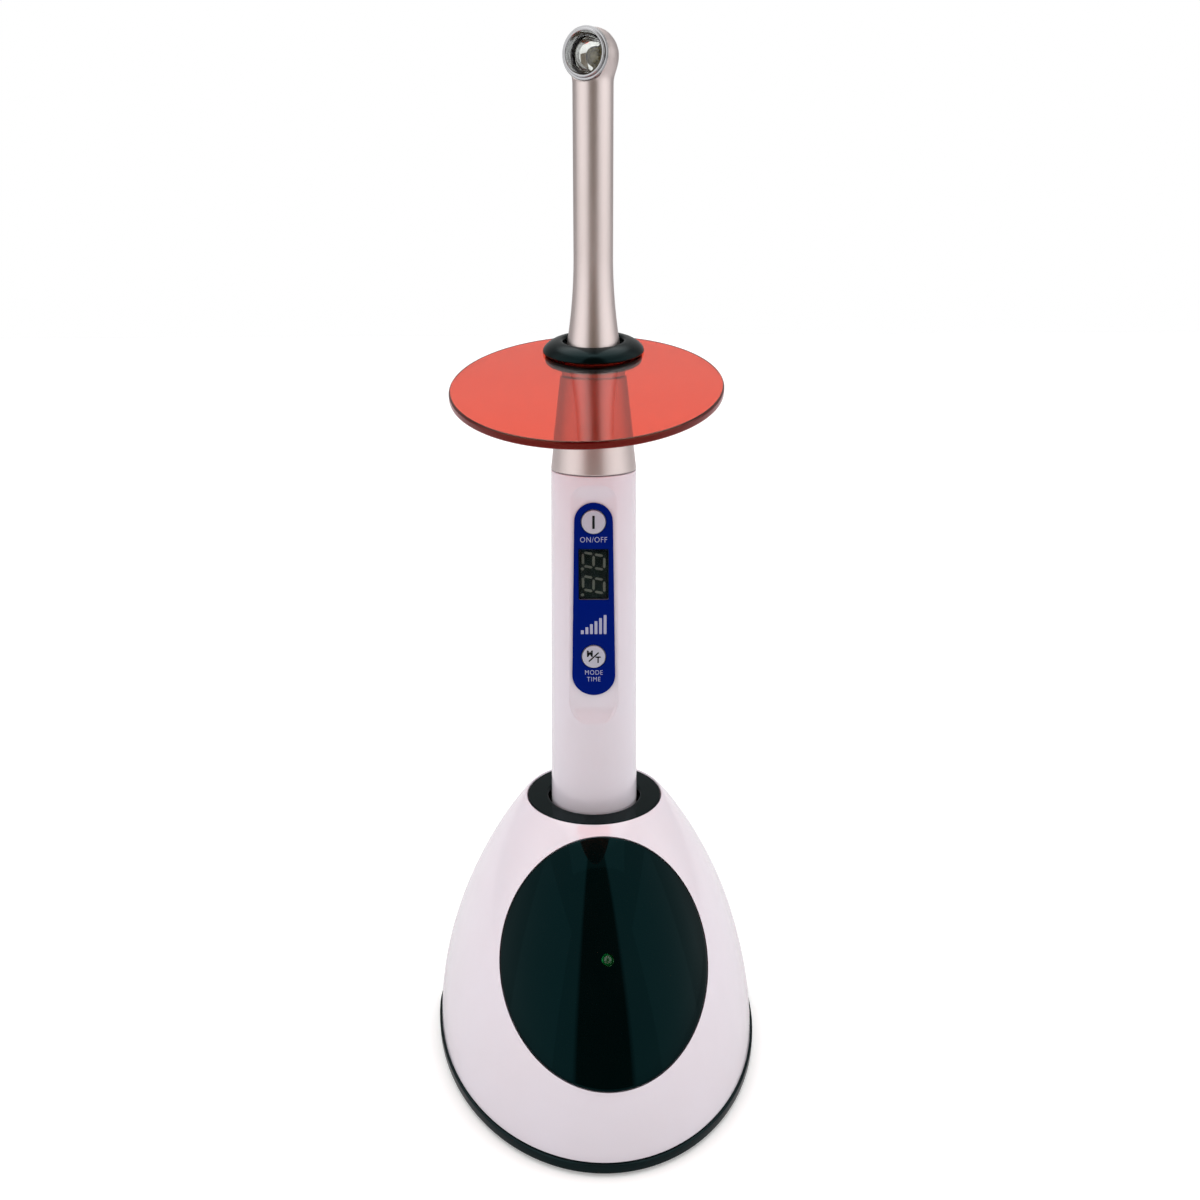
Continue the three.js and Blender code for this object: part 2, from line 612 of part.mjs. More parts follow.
piece(handpiece, 'buzzer', buzzerShape, 'blackPlastic').position.z = mainBoardTop - buzzer.drop;

const cellTop = cellBottom + cell.long;
piece(handpiece, 'battery_cell', turned([
  [0, cellBottom], [cell.radius - 0.4, cellBottom], [cell.radius, cellBottom + 0.4],
  [cell.radius, cellTop - 1.4], [cell.radius - 0.4, cellTop - 1],
  [cell.cap, cellTop - 1], [cell.cap, cellTop], [0, cellTop],
]), 'cellWrap');
piece(handpiece, 'battery_tab', join(
  box(-2.5, 2.5, -3, partsFront + 0.3, cellTop + gap, cellTop + gap + 0.3),
  box(-2.5, 2.5, partsFront, partsFront + 0.3, cellTop + gap, mainBoardBottom + 3),
), 'steel');

function tailCap() {
  const spigotTop = tailFlangeTop + tailSpigot.high;
  const body = turned([
    [0, tailBottom], [tail.radius - tail.chamfer, tailBottom], [tail.radius, tailBottom + tail.chamfer],
    [tail.radius, tailFlangeTop], [tailSpigot.radius, tailFlangeTop], [tailSpigot.radius, spigotTop],
    [tailSpigot.recess, spigotTop], [tailSpigot.recess, tailFlangeTop], [0, tailFlangeTop],
  ]);
  const grooveTop = contactFace + contactRing.thick + gap;
  const groove = tube(contactRing.outer + gap, contactRing.inner - gap, tailBottom - pad, grooveTop);
  return cut(body, groove, disc(rivet.radius + gap, tailBottom - pad, tailFlangeTop + pad, 24));
}

piece(handpiece, 'tail_cap', tailCap(), 'blackPlastic');
const ringShape = tube(contactRing.outer, contactRing.inner, contactFace, contactFace + contactRing.thick);
piece(handpiece, 'tail_contact_ring', ringShape, 'brass');
const rivetFlange = tailFlangeTop + gap;
const rivetTop = rivetFlange + rivet.flangeThick;
piece(handpiece, 'tail_contact_centre', turned([
  [0, contactFace], [rivet.radius, contactFace], [rivet.radius, rivetFlange], [rivet.flange, rivetFlange],
  [rivet.flange, rivetTop], [0, rivetTop],
], 24), 'brass');
const cellCoil = new Helix(cellSpring.radius, rivetTop + gap + 0.5, cellBottom - 3 * gap, cellSpring.turns);
piece(handpiece, 'battery_spring', rod(cellCoil, cellSpring.wire, 30, 5), 'steel');

// collar

// An O-ring lying in the groove of a spigot.
function sealRing(spigot, z, count) {
  const middle = spigot - sealGroove.depth + thinGap + sealThick;
  const points = Array.from({ length: 6 }, (_, i) => {
    const angle = (2 * Math.PI * (i + 0.5)) / 6;
    return [middle + sealThick * Math.cos(angle), z + sealThick * Math.sin(angle)];
  });
  return turned(points, count);
}

const spigotBottom = gripTop - collar.spigotLong;
const handleSealHeight = spigotBottom + sealGroove.rise;
const shelfBottom = collarTop - collar.shelf;
const neckBore = neck.spigot + 0.4;

function frontCollar() {
  const half = sealGroove.wide / 2;
  const deep = collar.spigot - sealGroove.depth;
  return turned([
    [collar.wideBore, spigotBottom], [collar.spigot, spigotBottom], [collar.spigot, handleSealHeight - half],
    [deep, handleSealHeight - half], [deep, handleSealHeight + half],
    [collar.spigot, handleSealHeight + half], [collar.spigot, collarBottom],
    [grip.topRadius, collarBottom], [collar.topRadius, collarTop],
    [neckBore, collarTop], [neckBore, shelfBottom], [collar.wideBore, shelfBottom],
  ], 32);
}

piece(handpiece, 'front_collar', frontCollar(), 'roseMetal');
piece(handpiece, 'handle_seal', sealRing(collar.spigot, handleSealHeight, 32), 'rubber');
const jackTop = neckBottom - neck.spigotLong - 3;
piece(handpiece, 'swivel_jack', cut(disc(collar.wideBore - gap, spigotBottom + 1, jackTop, 24),
  disc(plug.radius + gap, spigotBottom + plug.start - 1, jackTop + pad, 20)), 'blackPlastic');

// head and neck

const headGroup = new THREE.Group();
headGroup.rotation.z = headTurn;
handpiece.add(headGroup);

const neckSpigotBottom = neckBottom - neck.spigotLong;
const clipTop = shelfBottom - gap;
const clipHeight = clipTop - clip.thick;
const neckSealHeight = collarTop - sealGroove.drop;

function neckTube() {
  const half = sealGroove.wide / 2;
  const deep = neck.spigot - sealGroove.depth;
  const profile = [
    [neck.bore, neckSpigotBottom], [neck.spigot, neckSpigotBottom], [neck.spigot, clipHeight - gap],
    [clip.groove, clipHeight - gap], [clip.groove, clipTop + gap], [neck.spigot, clipTop + gap],
    [neck.spigot, neckSealHeight - half], [deep, neckSealHeight - half], [deep, neckSealHeight + half],
    [neck.spigot, neckSealHeight + half], [neck.spigot, neckBottom], [neck.waist, neckBottom],
    ...flare.map(([share, rise]) => [neckRadius + share * (neck.waist - neckRadius), neckBottom + rise]),
    [neckRadius, headCentre - 1], [neck.bore, headCentre - 1],
  ];
  const ball = new THREE.SphereGeometry(head.radius, 20, 12)
    .rotateX(Math.PI / 2)
    .translate(0, 0, headCentre);
  const drum = boltHole(barrel.radius, headCentre, -barrel.front, 0, 24);
  const headBore = boltHole(head.bore, headCentre, -head.radius - pad, head.boreBack, 24);
  const bezelSeat = boltHole(bezel.radius + gap, headCentre, -head.radius - pad, -barrel.front, 32);
  const wireWay = disc(neck.bore, headCentre - head.radius - 2, headCentre - 2, 20);
  return cut(join(turned(profile), ball, drum), headBore, wireWay, bezelSeat);
}

piece(headGroup, 'neck_tube', neckTube(), 'roseMetal');
piece(headGroup, 'neck_seal', sealRing(neck.spigot, neckSealHeight, sides), 'rubber');
piece(headGroup, 'neck_clip', tube(clip.outer, clip.inner, clipHeight, clipTop, 24), 'steel');
const plugTip = spigotBottom + plug.start;
const plugTop = neckSpigotBottom + plug.sleeve;
piece(headGroup, 'swivel_plug', turned([
  [0, plugTip], [plug.radius * 0.6, plugTip], [plug.radius, plugTip + 1],
  [plug.radius, neckSpigotBottom + 1], [neck.bore - gap, neckSpigotBottom + 1],
  [neck.bore - gap, plugTop], [0, plugTop],
], 20), 'brass');

// Pieces along the light's axis, drawn as (radius, distance in front of the head's centre).
const lightAxis = new THREE.Group();
lightAxis.rotation.x = Math.PI / 2;
lightAxis.position.z = headCentre;
headGroup.add(lightAxis);

const bezelBack = barrel.front + gap;
const skirtBack = lens.back + lens.flange + gap;
piece(lightAxis, 'head_bezel', turned([
  [bezelSkirt.inner, skirtBack], [bezelSkirt.outer, skirtBack], [bezelSkirt.outer, bezelBack],
  [bezel.radius, bezelBack], [bezel.radius, bezelBack + bezel.baseThick],
  [bezel.ring, bezelBack + bezel.baseThick], [bezel.ring, bezel.front - 0.3],
  [bezel.ring - 0.3, bezel.front], [bezel.lip, bezel.front],
]), 'chrome');

const domeSteps = 5;
const dome = Array.from({ length: domeSteps + 1 }, (_, i) => {
  const angle = (Math.PI / 2) * (i / domeSteps);
  const front = lens.back + lens.flange;
  return [i === domeSteps ? 0 : lens.dome * Math.cos(angle), front + (lens.apex - front) * Math.sin(angle)];
});
piece(lightAxis, 'lens', turned([
  [0, lens.back], [lens.radius, lens.back], [lens.radius, lens.back + lens.flange], ...dome,
], 24), 'glass');
const mirrorFront = lens.back - gap;
piece(lightAxis, 'reflector', turned([
  [mirror.backRadius - mirror.wall, mirror.back], [mirror.backRadius, mirror.back],
  [mirror.frontRadius, mirrorFront - 0.6], [mirror.frontRadius, mirrorFront], [mirror.mouth, mirrorFront],
], 24), 'chrome');
const die = box(-emitter.half, emitter.half, -emitter.half, emitter.half, emitter.back, emitter.front);
const dieLens = new THREE.SphereGeometry(emitter.dome, 12, 8)
  .scale(1, 1, emitter.flat)
  .translate(0, 0, emitter.front - 0.1);
piece(lightAxis, 'led_emitter', join(die, dieLens), 'glass');
piece(lightAxis, 'led_board', disc(head.bore - gap, -head.boreBack + gap, emitter.back - gap, 24), 'steel');

['wire_positive', 'wire_negative'].forEach((name, i) => {
  const x = i === 0 ? -wire.apart : wire.apart;
  const bottom = plugTop + gap;
  const top = headCentre - head.bore - gap;
  const middle = (bottom + top) / 2;
  const run = new THREE.CatmullRomCurve3([
    new THREE.Vector3(x, 0, bottom), new THREE.Vector3(x * 1.3, 1.5, middle), new THREE.Vector3(x, 2.2, top),
  ]);
  piece(headGroup, name, rod(run, wire.radius, 12, 8), i === 0 ? 'redWire' : 'blackPlastic');
});

// shield

const shieldGroup = new THREE.Group();
shieldGroup.rotation.set(shieldTilt, 0, shieldTurn, 'ZXY');
shieldGroup.position.z = shieldHeight;
handpiece.add(shieldGroup);

function grommetShape() {
  const top = thinGap + grommet.dome;
  const middle = (grommet.radius + grommet.mouth) / 2;
  const half = (grommet.radius - grommet.mouth) / 2;
  const crown = [];
  const steps = 6;
  for (let i = 0; i <= steps; i += 1) {
    const angle = (Math.PI * i) / steps;
    crown.push([middle + half * Math.cos(angle), thinGap + 0.4 + (top - thinGap - 0.4) * Math.sin(angle)]);
  }
  const under = -shield.thick - thinGap;
  const bottom = under - grommetSkirt.thick;
  return turned([
    [grommet.radius - 0.3, thinGap], ...crown,
    [grommetSkirt.mouth, bottom], [grommetSkirt.radius - 0.8, bottom], [grommetSkirt.radius, bottom + 0.8],
    [grommetSkirt.radius, under], [grommet.groove, under], [grommet.groove, thinGap],
  ], 24);
}

function shieldDisc() {
  const oval = new THREE.Shape();
  oval.absellipse(0, -shield.offset, shield.halfWide, shieldLong, 0, 2 * Math.PI);
  const hole = new THREE.Path();
  hole.absarc(0, 0, shield.hole, 0, 2 * Math.PI, true);
  oval.holes.push(hole);
  return raised(oval, -shield.thick, 0, 20);
}

piece(shieldGroup, 'shield_grommet', grommetShape(), 'rubber');
piece(shieldGroup, 'shield_disc', shieldDisc(), 'orangeAcrylic');

export default part;
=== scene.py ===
import bmesh
import bpy
import math
import numpy as np
from mathutils import Matrix, Vector


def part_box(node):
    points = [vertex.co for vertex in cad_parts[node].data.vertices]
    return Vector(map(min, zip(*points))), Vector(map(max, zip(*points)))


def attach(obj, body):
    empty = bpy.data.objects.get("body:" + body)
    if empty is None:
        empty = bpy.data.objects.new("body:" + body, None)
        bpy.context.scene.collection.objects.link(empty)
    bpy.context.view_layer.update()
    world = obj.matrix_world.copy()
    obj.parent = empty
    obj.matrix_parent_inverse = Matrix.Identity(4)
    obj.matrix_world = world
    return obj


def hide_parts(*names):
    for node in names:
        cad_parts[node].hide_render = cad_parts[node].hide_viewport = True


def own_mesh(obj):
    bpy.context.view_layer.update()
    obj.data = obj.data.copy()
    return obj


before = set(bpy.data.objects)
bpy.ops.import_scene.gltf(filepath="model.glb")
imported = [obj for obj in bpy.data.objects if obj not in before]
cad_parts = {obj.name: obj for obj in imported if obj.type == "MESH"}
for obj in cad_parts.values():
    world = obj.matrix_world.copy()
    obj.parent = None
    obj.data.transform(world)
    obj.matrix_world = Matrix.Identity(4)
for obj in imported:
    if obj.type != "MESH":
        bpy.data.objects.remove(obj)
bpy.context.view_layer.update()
mm = 0.001


# Where things stand. Every size below is in millimetres, in one of these frames.
def turnedBy(degrees, axis):
    return Matrix.Rotation(math.radians(degrees), 4, axis)


def middle(node):
    low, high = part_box(node)
    return (low + high) / 2 / mm


def lowest(node):
    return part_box(node)[0].z / mm


def highest(node):
    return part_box(node)[1].z / mm


pose = {"handpieceTurn": -4.5, "headTurn": -24.5, "shieldTilt": 10.3, "shieldTurn": -3, "headRadius": 6.9}
pinSpot = middle("charge_pin_1")
baseFrame = Matrix.Translation((pinSpot.x, pinSpot.y, 0))
handFrame = baseFrame @ turnedBy(pose["handpieceTurn"], "Z")
headFrame = handFrame @ turnedBy(pose["headTurn"], "Z")
headCentre = highest("neck_tube") - pose["headRadius"]
lightFrame = headFrame @ Matrix.Translation((0, 0, headCentre)) @ turnedBy(90, "X")
collarTop = highest("front_collar")
neckBottom = collarTop + 0.3
shieldFrame = (handFrame @ Matrix.Translation((0, 0, neckBottom + 8))
               @ turnedBy(pose["shieldTurn"], "Z") @ turnedBy(pose["shieldTilt"], "X"))
gripTop = highest("handle_shell")
gripBottom = lowest("handle_shell")
baseTop = highest("base_shell")
noTurn = Matrix.Identity(4)
print("frames ready, socket axis at", [round(v, 2) for v in pinSpot])


# Mesh making
def addObject(name, data):
    thing = bpy.data.objects.new(name, data)
    bpy.context.scene.collection.objects.link(thing)
    return thing


def turnsOf(count):
    return 2 * np.pi * np.arange(count) / count


def quarter(count):
    return np.linspace(0, math.pi / 2, count)


def placed(points, place):
    points = np.asarray(points, float).reshape(-1, 3)
    turn = np.array(place.to_3x3())
    return (points @ turn.T + np.array(place.translation)) * mm


def smoothMesh(mesh, sharp):
    mesh.polygons.foreach_set("use_smooth", [True] * len(mesh.polygons))
    mesh.set_sharp_from_angle(angle=math.radians(sharp))


def finishMesh(mesh, sharp=32, outward=True):
    work = bmesh.new()
    work.from_mesh(mesh)
    bmesh.ops.remove_doubles(work, verts=work.verts, dist=2e-7)
    if outward:
        bmesh.ops.recalc_face_normals(work, faces=work.faces)
    work.to_mesh(mesh)
    work.free()
    smoothMesh(mesh, sharp)
    mesh.update()


def addPiece(name, points, faces, place=baseFrame, sharp=32):
    mesh = bpy.data.meshes.new(name)
    mesh.from_pydata(placed(points, place).tolist(), [], [list(f) for f in faces])
    finishMesh(mesh, sharp)
    return addObject(name, mesh)


def softened(points, radius=0.3, steps=4, closed=False):
    # Rounds the corners of a profile; a third number in a point is its own radius.
    flat = [Vector(p[:2]) for p in points]
    made = []
    for i, corner in enumerate(flat):
        own = points[i][2] if len(points[i]) > 2 else radius
        if own <= 0 or (not closed and i in (0, len(flat) - 1)):
            made.append(tuple(corner))
            continue
        before, after = flat[i - 1] - corner, flat[(i + 1) % len(flat)] - corner
        reach = min(own, before.length * 0.45, after.length * 0.45)
        start, end = corner + before.normalized() * reach, corner + after.normalized() * reach
        # A close point on each side keeps the flats flat when shaded.
        if before.length * 0.5 > reach * 1.3:
            made.append(tuple(corner + before.normalized() * reach * 1.3))
        for k in range(steps + 1):
            t = k / steps
            made.append(tuple(start * (1 - t) ** 2 + corner * 2 * t * (1 - t) + end * t ** 2))
        if after.length * 0.5 > reach * 1.3:
            made.append(tuple(corner + after.normalized() * reach * 1.3))
    return made


def lathe(name, profile, place=baseFrame, count=96, sharp=32):
    # Profile of (radius, height). It closes on itself unless both ends lie on the axis.
    points, rings = [], []
    for radius, height in profile:
        if radius < 1e-6:
            rings.append([len(points)])
            points.append((0, 0, height))
            continue
        rings.append(list(range(len(points), len(points) + count)))
        for i in range(count):
            a = 2 * math.pi * i / count
            points.append((radius * math.cos(a), radius * math.sin(a), height))
    pairs = list(zip(rings, rings[1:]))
    if len(rings[0]) > 1 or len(rings[-1]) > 1:
        pairs.append((rings[-1], rings[0]))
    faces = []
    for low, high in pairs:
        for i in range(count):
            j = (i + 1) % count
            if len(low) == 1 and len(high) > 1:
                faces.append((low[0], high[j], high[i]))
            elif len(high) == 1 and len(low) > 1:
                faces.append((low[i], low[j], high[0]))
            elif len(low) > 1:
                faces.append((low[i], low[j], high[j], high[i]))
    return addPiece(name, points, faces, place, sharp)


def drum(radius, low, high, place=baseFrame, count=64):
    return lathe("drum", [(0, low), (radius, low), (radius, high), (0, high)], place, count)


def block(x0, x1, y0, y1, z0, z1, place=baseFrame):
    points = [(x, y, z) for x in (x0, x1) for y in (y0, y1) for z in (z0, z1)]
    faces = [(0, 1, 3, 2), (4, 6, 7, 5), (0, 4, 5, 1), (2, 3, 7, 6), (0, 2, 6, 4), (1, 5, 7, 3)]
    return addPiece("block", points, faces, place)


def gridPiece(name, rows, place=baseFrame, loop=False, sharp=32):
    # Rows of points, closed round; the ends are capped unless the last row joins the first.
    rows = np.asarray(rows, float)
    count, wide = rows.shape[:2]
    faces = []
    for r in range(count if loop else count - 1):
        s = (r + 1) % count
        for c in range(wide):
            d = (c + 1) % wide
            faces.append((r * wide + c, r * wide + d, s * wide + d, s * wide + c))
    if not loop:
        faces.append(range(wide - 1, -1, -1))
        faces.append(range((count - 1) * wide, count * wide))
    return addPiece(name, rows.reshape(-1, 3), faces, place, sharp)


def settle(piece, sharp=32, outward=False):
    # Turns the piece's modifiers into plain mesh.
    graph = bpy.context.evaluated_depsgraph_get()
    graph.update()
    mesh = bpy.data.meshes.new_from_object(piece.evaluated_get(graph), depsgraph=graph)
    piece.modifiers.clear()
    piece.data = mesh
    finishMesh(mesh, sharp, outward)
    return piece


def bevelled(piece, width):
    edges = piece.modifiers.new("edges", "BEVEL")
    edges.width, edges.segments = width * mm, 2
    return settle(piece)


def discard(*pieces):
    for piece in pieces:
        bpy.data.objects.remove(piece)


def carve(piece, tools, how="DIFFERENCE", sharp=32):
    for tool in tools:
        step = piece.modifiers.new(how.lower(), "BOOLEAN")
        step.operation, step.solver, step.object = how, "EXACT", tool
    settle(piece, sharp)
    discard(*tools)
    return piece


def reachOut(isInside, shape, limit, rounds):
    # How far each ray goes before it leaves the solid, by halving.
    near, far = np.zeros(shape), np.full(shape, limit)
    for _ in range(rounds):
        t = (near + far) / 2
        inside = isInside(t)
        near, far = np.where(inside, t, near), np.where(inside, far, t)
    return near


def stadium(topHalf, bottomHalf, bottom, top, count=32):
    arc = [math.pi * i / count for i in range(count + 1)]
    upper = [(topHalf * math.cos(a), top - topHalf + topHalf * math.sin(a)) for a in arc]
    lower = [(-bottomHalf * math.cos(a), bottom + bottomHalf - bottomHalf * math.sin(a)) for a in arc]
    return upper + lower


def circleAt(x, z, radius, count=48):
    return [(x + radius * math.cos(2 * math.pi * i / count), z + radius * math.sin(2 * math.pi * i / count))
            for i in range(count)]


def sheetPiece(name, loops, front, back, place, edge=0.06, sharp=32):
    # A flat piece facing -Y, from an outline and its holes in X and Z.
    shape = bpy.data.curves.new(name, "CURVE")
    shape.dimensions, shape.fill_mode = "2D", "BOTH"
    shape.extrude, shape.bevel_depth = (back - front) / 2 - edge, edge
    shape.bevel_resolution = 2
    shape.offset = -edge
    for loop in loops:
        spline = shape.splines.new("POLY")
        spline.points.add(len(loop) - 1)
        for point, (x, z) in zip(spline.points, loop):
            point.co = (x, z, 0, 1)
        spline.use_cyclic_u = True
    drawn = addObject(name, shape)
    return asPlaced(drawn, Matrix.Translation((0, (front + back) / 2, 0)) @ turnedBy(90, "X"), place, sharp)


def asPlaced(drawn, step, place, sharp=32):
    # Makes a curve or text a mesh, then puts it in its frame.
    graph = bpy.context.evaluated_depsgraph_get()
    graph.update()
    mesh = bpy.data.meshes.new_from_object(drawn.evaluated_get(graph), depsgraph=graph)
    name = drawn.name
    discard(drawn)
    mesh.transform(Matrix.Scale(mm, 4) @ place @ step)
    finishMesh(mesh, sharp)
    mesh.materials.clear()
    return addObject(name, mesh)


def lettering(name, words, size, x, z, front, place, narrow=1.0, heavy=0.0, spread=1.0, thick=0.02):
    shape = bpy.data.curves.new(name, "FONT")
    shape.body, shape.size, shape.extrude, shape.offset = words, size, thick / 2, heavy
    shape.space_character = spread
    shape.align_x, shape.align_y = "CENTER", "CENTER"
    shape.resolution_u = 4
    drawn = addObject(name, shape)
    step = Matrix.Translation((x, front - thick / 2, z)) @ turnedBy(90, "X") @ Matrix.Scale(narrow, 4,
        (1, 0, 0))
    return asPlaced(drawn, step, place, 60)


def joined(name, pieces):
    work = bmesh.new()
    for piece in pieces:
        work.from_mesh(piece.data)
    mesh = bpy.data.meshes.new(name)
    work.to_mesh(mesh)
    work.free()
    discard(*pieces)
    smoothMesh(mesh, 32)
    return addObject(name, mesh)


def wear(piece, material, body=None, nodes=()):
    # Gives a finished piece its material and its body, and hides the parts it stands for.
    piece.data.materials.clear()
    piece.data.materials.append(material)
    if nodes:
        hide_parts(*nodes)
    if body:
        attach(piece, body)
    return piece


# Node building
def link(tree, source, target):
    tree.links.new(source, target)


def feed(tree, socket, value):
    if isinstance(value, bpy.types.NodeSocket):
        link(tree, value, socket)
    else:
        socket.default_value = value


def addNode(tree, kind, inputs=None, **settings):
    node = tree.nodes.new(kind)
    for key, value in settings.items():
        setattr(node, key, value)
    for key, value in (inputs or {}).items():
        feed(tree, node.inputs[key], value)
    return node


def sums(tree, how, first, second=0.0, third=0.0, clamp=False):
    return addNode(tree, "ShaderNodeMath", {0: first, 1: second, 2: third}, operation=how,
                   use_clamp=clamp).outputs[0]


def product(tree, first, *others):
    for value in others:
        first = sums(tree, "MULTIPLY", first, value)
    return first


def newTree(name, kind, inputs, outputs):
    # A node group, its inputs as sockets to draw from, and its outputs as sockets to feed.
    tree = bpy.data.node_groups.new(name, kind)
    for label, socketKind, value in inputs:
        socket = tree.interface.new_socket(label, in_out="INPUT", socket_type="NodeSocket" + socketKind)
        if value is not None:
            socket.default_value = value
    for label, socketKind in outputs:
        tree.interface.new_socket(label, in_out="OUTPUT", socket_type="NodeSocket" + socketKind)
    return tree, tree.nodes.new("NodeGroupInput").outputs, tree.nodes.new("NodeGroupOutput").inputs


def shaderGroup(name, outputs, **amounts):
    inputs = [("Vector", "Vector", None)] + [(label, "Float", value) for label, value in amounts.items()]
    return newTree(name, "ShaderNodeTree", inputs, [(label, "Float") for label in outputs])


def noise(tree, vector, scale, detail=3.0, rough=0.5):
    return addNode(tree, "ShaderNodeTexNoise", {"Vector": vector, "Scale": scale, "Detail": detail,
        "Roughness": rough}).outputs["Fac"]


def ramp(tree, value, low, high, toLow=0.0, toHigh=1.0):
    node = addNode(tree, "ShaderNodeMapRange", {"Value": value, "From Min": low, "From Max": high,
        "To Min": toLow, "To Max": toHigh})
    return node.outputs["Result"]


# Fine moulded or blasted grain, with a slow drift of shade across the surface.
grainGroup, grainIn, grainOut = shaderGroup("surface grain", ["Height", "Shade"], Scale=2500.0, Drift=35.0)
fineGrain = noise(grainGroup, grainIn["Vector"], grainIn["Scale"], 4.0, 0.6)
softGrain = noise(grainGroup, grainIn["Vector"], product(grainGroup, grainIn["Scale"], 0.13), 2.0)
grainHeight = sums(grainGroup, "ADD", product(grainGroup, fineGrain, 0.7),
    product(grainGroup, softGrain, 0.3))
link(grainGroup, grainHeight, grainOut["Height"])
drifting = noise(grainGroup, grainIn["Vector"], grainIn["Drift"], 3.0)
link(grainGroup, ramp(grainGroup, drifting, 0.3, 0.7), grainOut["Shade"])

# Handling marks: hairline scratches that come in patches, and faint finger smears.
marksGroup, marksIn, marksOut = shaderGroup("handling marks", ["Scratch", "Smear"], Size=1.0, Amount=0.5)
stretched = {"Vector": marksIn["Vector"], "Rotation": (0.5, 0.9, 0.4), "Scale": (1.0, 14.0, 5.0)}
scratchField = {"Vector": addNode(marksGroup, "ShaderNodeMapping", stretched).outputs[0],
                "Scale": product(marksGroup, marksIn["Size"], 60.0)}
cells = addNode(marksGroup, "ShaderNodeTexVoronoi", scratchField, feature="DISTANCE_TO_EDGE")
hairline = ramp(marksGroup, cells.outputs["Distance"], 0.0, 0.02, 1.0, 0.0)
patches = noise(marksGroup, marksIn["Vector"], product(marksGroup, marksIn["Size"], 90.0), 2.0)
scratches = product(marksGroup, hairline, ramp(marksGroup, patches, 0.52, 0.68), marksIn["Amount"])
link(marksGroup, scratches, marksOut["Scratch"])
smears = noise(marksGroup, marksIn["Vector"], product(marksGroup, marksIn["Size"], 55.0), 5.0, 0.65)
link(marksGroup, product(marksGroup, ramp(marksGroup, smears, 0.42, 0.7), marksIn["Amount"]),
     marksOut["Smear"])

# Dust that settles where the surface looks up.
dustGroup, dustIn, dustOut = shaderGroup("settled dust", ["Mask"], Amount=0.3)
dustNormal = addNode(dustGroup, "ShaderNodeNewGeometry").outputs["Normal"]
facing = addNode(dustGroup, "ShaderNodeSeparateXYZ", {"Vector": dustNormal})
upward = ramp(dustGroup, facing.outputs["Z"], 0.2, 1.0)
specks = ramp(dustGroup, noise(dustGroup, dustIn["Vector"], 1800.0, 2.0), 0.62, 0.74)
film = ramp(dustGroup, noise(dustGroup, dustIn["Vector"], 120.0, 4.0), 0.35, 0.75, 0.0, 0.35)
settled = product(dustGroup, upward, sums(dustGroup, "MAXIMUM", specks, film), dustIn["Amount"])
link(dustGroup, settled, dustOut["Mask"])

# Paint or polish rubbed off along edges.
edgeGroup, edgeIn, edgeOut = shaderGroup("edge rub", ["Mask"], Amount=0.5)
corner = ramp(edgeGroup, addNode(edgeGroup, "ShaderNodeNewGeometry").outputs["Pointiness"], 0.52, 0.6)
broken = ramp(edgeGroup, noise(edgeGroup, edgeIn["Vector"], 700.0, 4.0), 0.35, 0.65)
link(edgeGroup, product(edgeGroup, corner, broken, edgeIn["Amount"]), edgeOut["Mask"])


def placeGroup(tree, group, vector, **values):
    node = tree.nodes.new("ShaderNodeGroup")
    node.node_tree = group
    link(tree, vector, node.inputs["Vector"])
    for key, value in values.items():
        node.inputs[key].default_value = value
    return node


def mixed(tree, amount, first, second):
    node = addNode(tree, "ShaderNodeMix", data_type="RGBA")
    feed(tree, node.inputs[0], amount)
    for i, value in ((6, first), (7, second)):
        feed(tree, node.inputs[i], (*value, 1.0) if isinstance(value, tuple) else value)
    return node.outputs[2]


def setPlain(shader, values):
    for label, value in values.items():
        shader.inputs[label].default_value = value


finishStart = {"colour": (0.8, 0.8, 0.8), "shade": None, "rough": 0.3, "roughVary": 0.08, "metal": 0.0,
               "coat": 0.0, "coatRough": 0.03, "ior": 1.5, "grain": 2500.0, "drift": 35.0, "bump": 0.15,
               "deep": 0.00002, "marks": 0.5, "markSize": 1.0, "dust": 0.1, "edge": 0.0,
               "edgeColour": (0.6, 0.6, 0.6), "stretch": (1.0, 1.0, 1.0), "subsurface": 0.0, "shine": 0.5,
               "shineTint": (1.0, 1.0, 1.0), }


